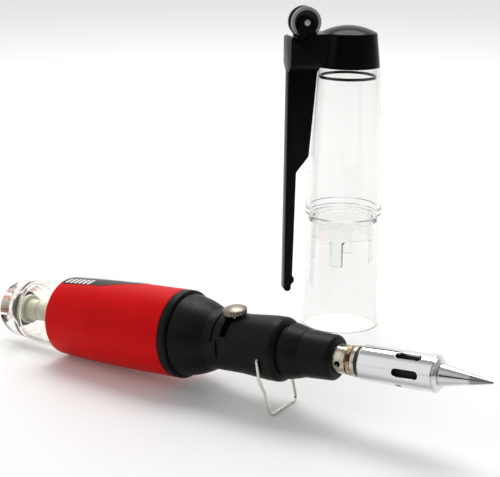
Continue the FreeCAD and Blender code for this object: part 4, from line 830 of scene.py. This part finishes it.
def make_housing():
    columns = housing_columns()
    outline = housing_outline()
    housing = spun("front_housing_black", outline, TORCH, relief=housing_relief, columns=columns)
    for vertex in housing.data.vertices:
        vertex.co = flattened(vertex.co / MM) * MM
    shade(housing, SHARP_ANGLE)
    finish_piece(housing, "torch", "black", ["front_housing"])


def knurled(count, depth, least_radius, sharpness, slope=0.0):
    """Relief that cuts grooves round a rim. slope turns them along the axis."""

    def relief(along, angle, radius):
        if radius < least_radius:
            return radius
        wave = 0.5 + 0.5 * math.cos(math.radians(angle + slope * along) * count)
        return radius - depth * wave**sharpness

    return relief


def make_gas_lever():
    corners = [
        (1.0, 9.2), (3.6, 9.2, 0.2), (3.6, 10.6, 0.1), (3.15, 10.85, 0.1, -7.9), (0.8, 11.48, 0.3),
        (0.0, 11.5), (0.0, 10.2), (1.0, 10.2),
    ]
    # The knob's material carries a painted reddish-brown reflection.
    turned(
        "gas_lever_knob_nickel", corners, LEVER, 24 * 12, "gas_control", "knob", ["gas_lever_knob"],
        "knob_nickel", axis="Z", relief=knurled(24, 0.3, 3.3, 3.0), degrees=45
    )
    corners = [(0.0, 5.4), (1.0, 5.4, 0.15), (1.0, 10.2), (0.0, 10.2)]
    turned(
        "gas_lever_post", corners, LEVER, 48, "gas_control", "spring", ["lever_post"],
        "spring_steel", axis="Z"
    )


# ---- Burner and tip ------------------------------------------


def make_nose():
    corners = [
        (35.0, 4.25), (35.0, 7.5), (36.4, 7.5, 0.15), (36.4, 8.35, 0.5), (41.5, 7.0, 0.3),
        (41.5, 4.25),
    ]
    turned("nose_ring_black", corners, TORCH, 192, "torch", "black", ["nose_ring"], "black_plastic")
    corners = [(41.5, 4.25), (41.5, 6.9), (51.4, 6.5, 1.4), (51.4, 4.25, 0.25)]
    turned(
        "nose_sleeve_black", corners, TORCH, 192, "torch", "black", ["nose_sleeve"],
        "black_plastic", steps=10
    )


def make_burner_tube():
    holes = (53.1, 0.95, 0.95, 4, -3.3, 0.5)
    tube = windowed_tube(
        "burner_tube_nickel", (43.9, 55.2), lambda along: 4.2, holes, 0.8, TORCH, 0.08
    )
    finish_piece(tube, "torch", "burner", ["burner_tube"])
    corners = [
        (55.2, 3.4), (55.2, 4.2, 0.12), (55.35, 3.72), (57.0, 3.72), (57.0, 4.1), (60.2, 4.1, 0.1),
        (60.2, 3.4),
    ]
    turned("burner_waist_nickel", corners, TORCH, 144, "torch", "burner", (), "burner_nickel")

    turns, steps, start, length, coil_radius = 3.05, 72, 55.50, 1.2, 4.01
    path = []
    for step in range(int(turns * steps) + 1):
        turn = 2 * math.pi * step / steps
        along = start + length * step / (turns * steps)
        path.append((along, -coil_radius * math.cos(turn), coil_radius * math.sin(turn)))
    coil = swept("copper_coil_wire", path, 0.28, TORCH, 14)
    finish_piece(coil, "torch", "copper", ["copper_sealing_coil"])

    corners = [(57.1, 4.1), (57.1, 4.5, 0.18), (58.4, 4.5, 0.18), (58.4, 4.1)]
    turned(
        "union_ring_nickel", corners, TORCH, 144, "torch", "burner", ["union_ring"],
        "burner_nickel"
    )
    corners = [(58.4, 4.1), (58.4, 4.15), (59.2, 4.15), (59.2, 4.1)]
    turned("tip_gasket_dark", corners, TORCH, 96, "torch", "rubber", ["tip_gasket"], "gasket_dark")


def make_tip():
    rear, front, rounding = 59.2, 81.9, 0.9
    vents = (74.3, 3.9, 1.2, 6, 4.2, 0.55)

    def body_radius(along):
        """A rounded rear edge, then a side that widens a little to the front."""
        if along < rear + rounding:
            return 4.36 + 0.64 * (1 - (1 - (along - rear) / rounding) ** 2)
        return 5.0 + 0.15 * (along - rear - rounding) / (front - rear - rounding)

    body = windowed_tube("tip_body_chrome", (rear, front), body_radius, vents, 0.8, TORCH, 0.14)
    finish_piece(body, "torch", "chrome", ["tip_body"])
    corners = [
        (81.9, 2.6), (81.9, 4.85, 0.1), (82.2, 4.85, 0.1), (82.2, 4.6, 0.05), (82.35, 4.6, 0.08),
        (83.0, 3.9, 0.1), (83.0, 2.6, 0.1),
    ]
    turned("tip_nut_chrome", corners, TORCH, 192, "torch", "chrome", ["tip_nut"], "tip_chrome")
    corners = [
        (78.6, 0.0), (78.6, 3.7, 0.2), (81.9, 3.7), (81.9, 2.55), (83.0, 2.55), (83.0, 3.2, 0.1),
        (83.4, 3.2, 0.1), (91.5, 1.5, 0.3), (97.6, 0.35, 0.15), (97.8, 0.0),
    ]
    turned(
        "soldering_tip_plated", corners, TORCH, 160, "torch", "tip", ["soldering_tip"], "tip_iron"
    )


# ---- Wire stand ----------------------------------------------


WIRE_RADIUS = 0.45


def make_stand():
    """Half of the wire's path runs down from its pivot in the housing to the foot, which lies on the
    ground, and the other half mirrors it."""
    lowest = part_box("wire_stand")[0][2]
    along, up = TORCH.to_3x3().col[0], TORCH.to_3x3().col[2]
    foot_x = 32.2
    foot_z = (lowest / MM + WIRE_RADIUS - TORCH.translation.z / MM - foot_x * along.z) / up.z
    half = [
        (29.4, 7.0, -1.2, 0), (29.4, 8.75, -1.2, 0.7), (29.9, 8.75, -7.2, 2.0),
        (30.9, 7.6, -11.0, 2.0), (foot_x, 7.3, foot_z, 1.5),
    ]
    other = [(x, -y, z, bend) for x, y, z, bend in reversed(half)]
    wire = swept("stand_bent_wire", bent_path(half + other), WIRE_RADIUS, TORCH, 20)
    finish_piece(wire, "wire_stand", "wire", ["wire_stand"])


# ---- Cap -----------------------------------------------------


def make_cap_tube():
    corners = [
        (12.3, 0.0, 0.25), (13.5, 0.0, 0.25), (12.72, 39.6, 0.1), (13.15, 39.9, 0.25),
        (13.15, 41.7, 0.25), (12.95, 42.0, 0.1, -800.0), (10.66, 90.0), (9.5, 90.0, 0, 800.0),
        (11.75, 39.0),
    ]
    turned(
        "cap_clear_tube", corners, CAP, 224, "cap", "clear_cap", ["cap_tube"], "clear_cap",
        axis="Z"
    )


def make_cap_insert():
    """A ring with four fingers, left between two crossed cuts."""
    place = CAP @ placed(0, 0, 16.4, "Z")
    corners = [
        (9.55, 22.9, 0.15), (10.4, 22.9, 0.15), (10.4, 37.4, 0.2), (11.72, 37.4, 0.15),
        (11.72, 39.0, 0.15), (9.55, 39.0, 0.2),
    ]
    insert = spun("cap_clear_fingers", trace(corners), place, 192, axis="Z")
    for number in range(2):
        spot = place @ placed(0, 0, 90 * number, "Z")
        outline = trace([(-5.65, 20.9), (5.65, 20.9), (5.65, 31.8, 1.3), (-5.65, 31.8, 1.3)])
        cut(insert, extruded(f"gap_{number}", outline, 20, spot))
    finish_piece(insert, "cap", "clear_insert", ["cap_grip_insert"])
    corners = [(8.9, 86.2, 0.1), (9.6, 86.2, 0.1), (9.6, 87.1, 0.1), (8.9, 87.1, 0.1)]
    turned(
        "cap_seal_black", corners, CAP, 160, "cap", "black_gloss", ["cap_seal_ring"],
        "black_plastic", axis="Z"
    )


def flint_bore(name, low, high):
    """A cutter for the bore that holds the flint."""
    outline = trace([(0.0, low), (1.3, low), (1.3, high), (0.0, high)])
    return spun(name, outline, CAP @ placed(WHEEL_X, 0, 0, "Z"), 64, axis="Z")


def make_cap_top():
    """A domed top with a boss on its side, whose two cheeks hold the flint wheel."""
    rim, rise = 9.35, 2.3
    crown = (rim**2 + rise**2) / (2 * rise)
    corners = [
        (8.7, 90.0), (10.66, 90.0, 0.1), (rim, 101.2, 0.7, -crown), (0.0, 103.5), (0.0, 99.6),
        (5.5, 99.6),
    ]
    top = spun("cap_top_black", trace(corners), CAP, 192, axis="Z")
    corners = [
        (9.1, 90.0), (10.95, 90.0), (10.95, 88.7, 0.15), (21.1, 88.7, 0.15), (21.1, 99.6, 0.1),
        (20.5, 100.2, 0.1), (19.8, 100.2, 0.1), (18.9, 98.4, 0.1), (18.4, 98.4, 0.1, 4.4),
        (15.0, 101.0, 0.3), (7.0, 101.3), (7.0, 100.1),
    ]
    boss = extruded("boss", trace(corners), 4.8, CAP)
    bevels = []
    crosswise = CAP @ placed(0, 0, 90, "Z")
    wedge = [(1.7, 88.2), (5.7, 92.2), (5.7, 86.0), (1.7, 86.0)]
    for side in (1, -1):
        outline = [(side * across, up) for across, up in wedge]
        bevels.append(extruded(f"bevel_{side}", outline, 6.0, crosswise, offset=-16.1))
    cut(boss, *bevels)
    bevelled(boss, 0.3, 4, 40)
    outline = trace([(12.6, 98.0), (18.4, 98.0), (18.4, 104.1, 0, -2.902), (12.6, 104.1)])
    cheeks = extruded("cheeks", outline, 3.7, CAP)
    bevelled(cheeks, 0.2, 3, 50)
    cut(top, boss, cheeks, operation="UNION")
    well = spun("well", trace([(-2.75, 0.0), (2.75, 0.0), (2.75, 5.6), (-2.75, 5.6)]), WHEEL, 128)
    axle = spun("axle_hole", trace([(-6, 0.0), (6, 0.0), (6, 1.1), (-6, 1.1)]), WHEEL, 64)
    cut(top, well, axle, flint_bore("bore", 84.0, 104.0))
    finish_piece(top, "cap", "black_gloss", ["cap_top"])


def make_clip():
    corners = [
        (11.15, 88.7), (13.45, 60.0, 1.5), (17.7, 54.6, 1.5), (18.25, 18.4, 0.2), (17.6, 17.5, 0.3),
        (17.6, 16.1, 0.3), (18.6, 15.2, 0.2), (18.6, 14.0, 0, -1.2525), (21.1, 14.0), (21.1, 88.7),
    ]
    clip = extruded("pocket_clip_black", trace(corners), 2.0, CAP)
    bevelled(clip, 0.3, 3, 50)
    cut(clip, flint_bore("clip_bore", 50.0, 95.0))
    finish_piece(clip, "cap", "black_gloss", ["pocket_clip"])


# ---- Spark wheel ---------------------------------------------


# Inside this radius the thumb wheels' faces get painted shade.
WHEEL_SHADE_RADIUS = 4.1


def make_wheels():
    """Two knurled thumb wheels, painted shade inside their rims, and the spark wheel between them.
    """
    sides = (("thumb_wheel_a", "near_thumb_wheel", 1), ("thumb_wheel_b", "far_thumb_wheel", -1))
    for name, node, side in sides:
        corners = [
            (1.5 * side, 1.15), (2.15 * side, 1.15, 0.1), (2.15 * side, 3.9, 0.15),
            (2.6 * side, 3.9, 0.12), (2.6 * side, 4.8, 0.1), (2.2 * side, 5.2, 0.1),
            (1.5 * side, 5.2, 0.1),
        ]
        outline = trace(corners)
        wheel = spun(name, outline, WHEEL, 36 * 10, relief=knurled(36, 0.22, 4.7, 2.0), degrees=40)
        finish_piece(wheel, "flint_wheel", ["steel", "wheel_face_painted_shade"], [node])
        # Faces inside the rim get the near-black painted shade.
        for face in wheel.data.polygons:
            if face.center.yz.length < WHEEL_SHADE_RADIUS * MM:
                face.material_index = 1
    outline = trace([(-1.45, 1.15), (-1.45, 4.4, 0.1), (1.45, 4.4, 0.1), (1.45, 1.15)])
    # The teeth turn along the axis, so the rim has points between its edges.
    toothed = [Vector((-1.2 + 0.3 * step, 4.4)) for step in range(9)]
    rows = outline[:8] + toothed + outline[8:]
    teeth = knurled(20, 0.42, 4.0, 1.6, slope=6.0)
    spark = spun("spark_wheel_toothed", rows, WHEEL, 20 * 12, relief=teeth, degrees=45)
    finish_piece(spark, "flint_wheel", "spark", ["spark_wheel"])
    corners = [(-3.7, 0.0), (-3.7, 1.1, 0.25), (3.7, 1.1, 0.25), (3.7, 0.0)]
    turned("wheel_axle_pin", corners, WHEEL, 64, "cap", "axle", ["wheel_axle"], "wheel_steel")


# ---- Pieces kept from the CAD model --------------------------


KEPT = {
    "valve": ["tank_plug"],
    "rubber": ["tank_seal_ring", "filler_stem_seal"],
    "spring": ["filler_spring", "valve_needle", "needle_cross_pin", "flint_spring"],
    "wick": ["fuel_wick", "gas_filter"],
    "brass": [
        "filler_spring_seat", "gas_valve_body", "gas_line", "jet_holder", "gas_jet", "flint_screw",
    ],
    "black": ["control_ring"],
    "mesh": ["flame_mesh"],
    "catalyst": ["catalyst"],
    "spark": ["flint"],
}


# ---- Stage ---------------------------------------------------


def make_floor():
    reach = 14.0
    mesh = bpy.data.meshes.new("floor")
    corners = [(-reach, -reach, 0), (reach, -reach, 0), (reach, reach, 0), (-reach, reach, 0)]
    mesh.from_pydata(corners, [], [(0, 1, 2, 3)])
    floor = bpy.data.objects.new("floor", mesh)
    bpy.context.scene.collection.objects.link(floor)
    shader = Shader("floor_white", (0.85, 0.85, 0.845), 0.35, Specular_IOR_Level=0.25)
    shader.bsdf.inputs["Emission Color"].default_value = (1, 1, 0.99, 1)
    shader.bsdf.inputs["Emission Strength"].default_value = 0.055
    floor.data.materials.append(shader.material)


def add_softbox(name, place, aim, size, power):
    light = bpy.data.lights.new(name, "AREA")
    light.shape = "RECTANGLE"
    light.size, light.size_y = size
    light.energy = power
    lamp = bpy.data.objects.new(name, light)
    bpy.context.scene.collection.objects.link(lamp)
    lamp.location = place
    lamp.rotation_euler = (Vector(aim) - Vector(place)).to_track_quat("-Z", "Y").to_euler()


# The white tent round the object has darker and brighter parts: the direction of each, the half
# angles of its outer and inner edge in degrees, and its brightness.
TENT_PARTS = (
    ((-0.12, -0.985, 0.06), 19, 9, 0.02),
    ((-0.52, -0.72, 0.42), 42, 20, 2.1),
    ((0.60, -0.80, 0.10), 60, 20, 0.45),
    ((-0.50, 0.85, 0.0), 75, 45, 2.05),
)
TENT_LIGHT = 0.47


def product(tree, one, other):
    """The product of two sockets."""
    both = tree.nodes.new("ShaderNodeMath")
    both.operation = "MULTIPLY"
    tree.links.new(one, both.inputs[0])
    tree.links.new(other, both.inputs[1])
    return both.outputs["Value"]


def tent_part(tree, where, direction, outer, inner, brightness):
    """A socket that is 1 away from a direction, and brightness near it."""
    facing = tree.nodes.new("ShaderNodeVectorMath")
    facing.operation = "DOT_PRODUCT"
    facing.inputs[1].default_value = Vector(direction).normalized()
    tree.links.new(where.outputs["Generated"], facing.inputs[0])
    part = tree.nodes.new("ShaderNodeMapRange")
    part.interpolation_type = "SMOOTHSTEP"
    part.inputs["From Min"].default_value = math.cos(math.radians(outer))
    part.inputs["From Max"].default_value = math.cos(math.radians(inner))
    part.inputs["To Min"].default_value = 1.0
    part.inputs["To Max"].default_value = brightness
    tree.links.new(facing.outputs["Value"], part.inputs["Value"])
    return part.outputs["Result"]


def make_lights():
    world = bpy.data.worlds.new("studio")
    bpy.context.scene.world = world
    world.use_nodes = True
    tree = world.node_tree
    background = tree.nodes["Background"]
    background.inputs["Color"].default_value = (1.0, 1.0, 0.985, 1)
    where = tree.nodes.new("ShaderNodeTexCoord")
    strength = tree.nodes.new("ShaderNodeValue").outputs["Value"]
    strength.default_value = TENT_LIGHT
    for part in TENT_PARTS:
        strength = product(tree, strength, tent_part(tree, where, *part))
    tree.links.new(strength, background.inputs["Strength"])
    add_softbox("overhead", (-0.20, 0.36, 0.85), (0, 0, 0.03), (0.60, 0.54), 6.0)
    add_softbox("backdrop", (-1.0, 2.1, 1.1), (-1.0, 2.1, 0), (2.6, 2.2), 4.0)


EYE_PLACE = (0.197489, -0.3270, 0.14698)
EYE_AZIMUTH, EYE_PITCH, EYE_ROLL = 33.07, 15.77, 0.76
LENS_MM, SENSOR_MM = 89.6, 36.0


def make_camera():
    """A camera that looks down at the torch's side. Its three angles are in degrees."""
    camera = bpy.data.cameras.new("camera")
    camera.sensor_width = SENSOR_MM
    camera.lens = LENS_MM
    camera.clip_end = 50
    eye = bpy.data.objects.new("camera", camera)
    bpy.context.scene.collection.objects.link(eye)
    azimuth, pitch, roll = (math.radians(angle) for angle in (EYE_AZIMUTH, EYE_PITCH, EYE_ROLL))
    ahead = Vector((-math.sin(azimuth), math.cos(azimuth), 0))
    forward = ahead * math.cos(pitch) - Vector((0, 0, math.sin(pitch)))
    level = Vector((math.cos(azimuth), math.sin(azimuth), 0))
    above = level.cross(forward)
    right = level * math.cos(roll) + above * math.sin(roll)
    up = above * math.cos(roll) - level * math.sin(roll)
    turned_eye = Matrix((right, up, -forward)).transposed().to_4x4()
    eye.matrix_world = Matrix.Translation(EYE_PLACE) @ turned_eye
    bpy.context.scene.camera = eye


make_fuel_tank()
make_filler()
make_grip()
make_label()
make_housing()
make_gas_lever()
make_nose()
make_burner_tube()
make_tip()
make_stand()
make_cap_tube()
make_cap_insert()
make_cap_top()
make_clip()
make_wheels()
for material, nodes in KEPT.items():
    for node in nodes:
        show(node, material)
make_floor()
make_lights()
make_camera()
bpy.context.scene.view_settings.view_transform = "Standard"
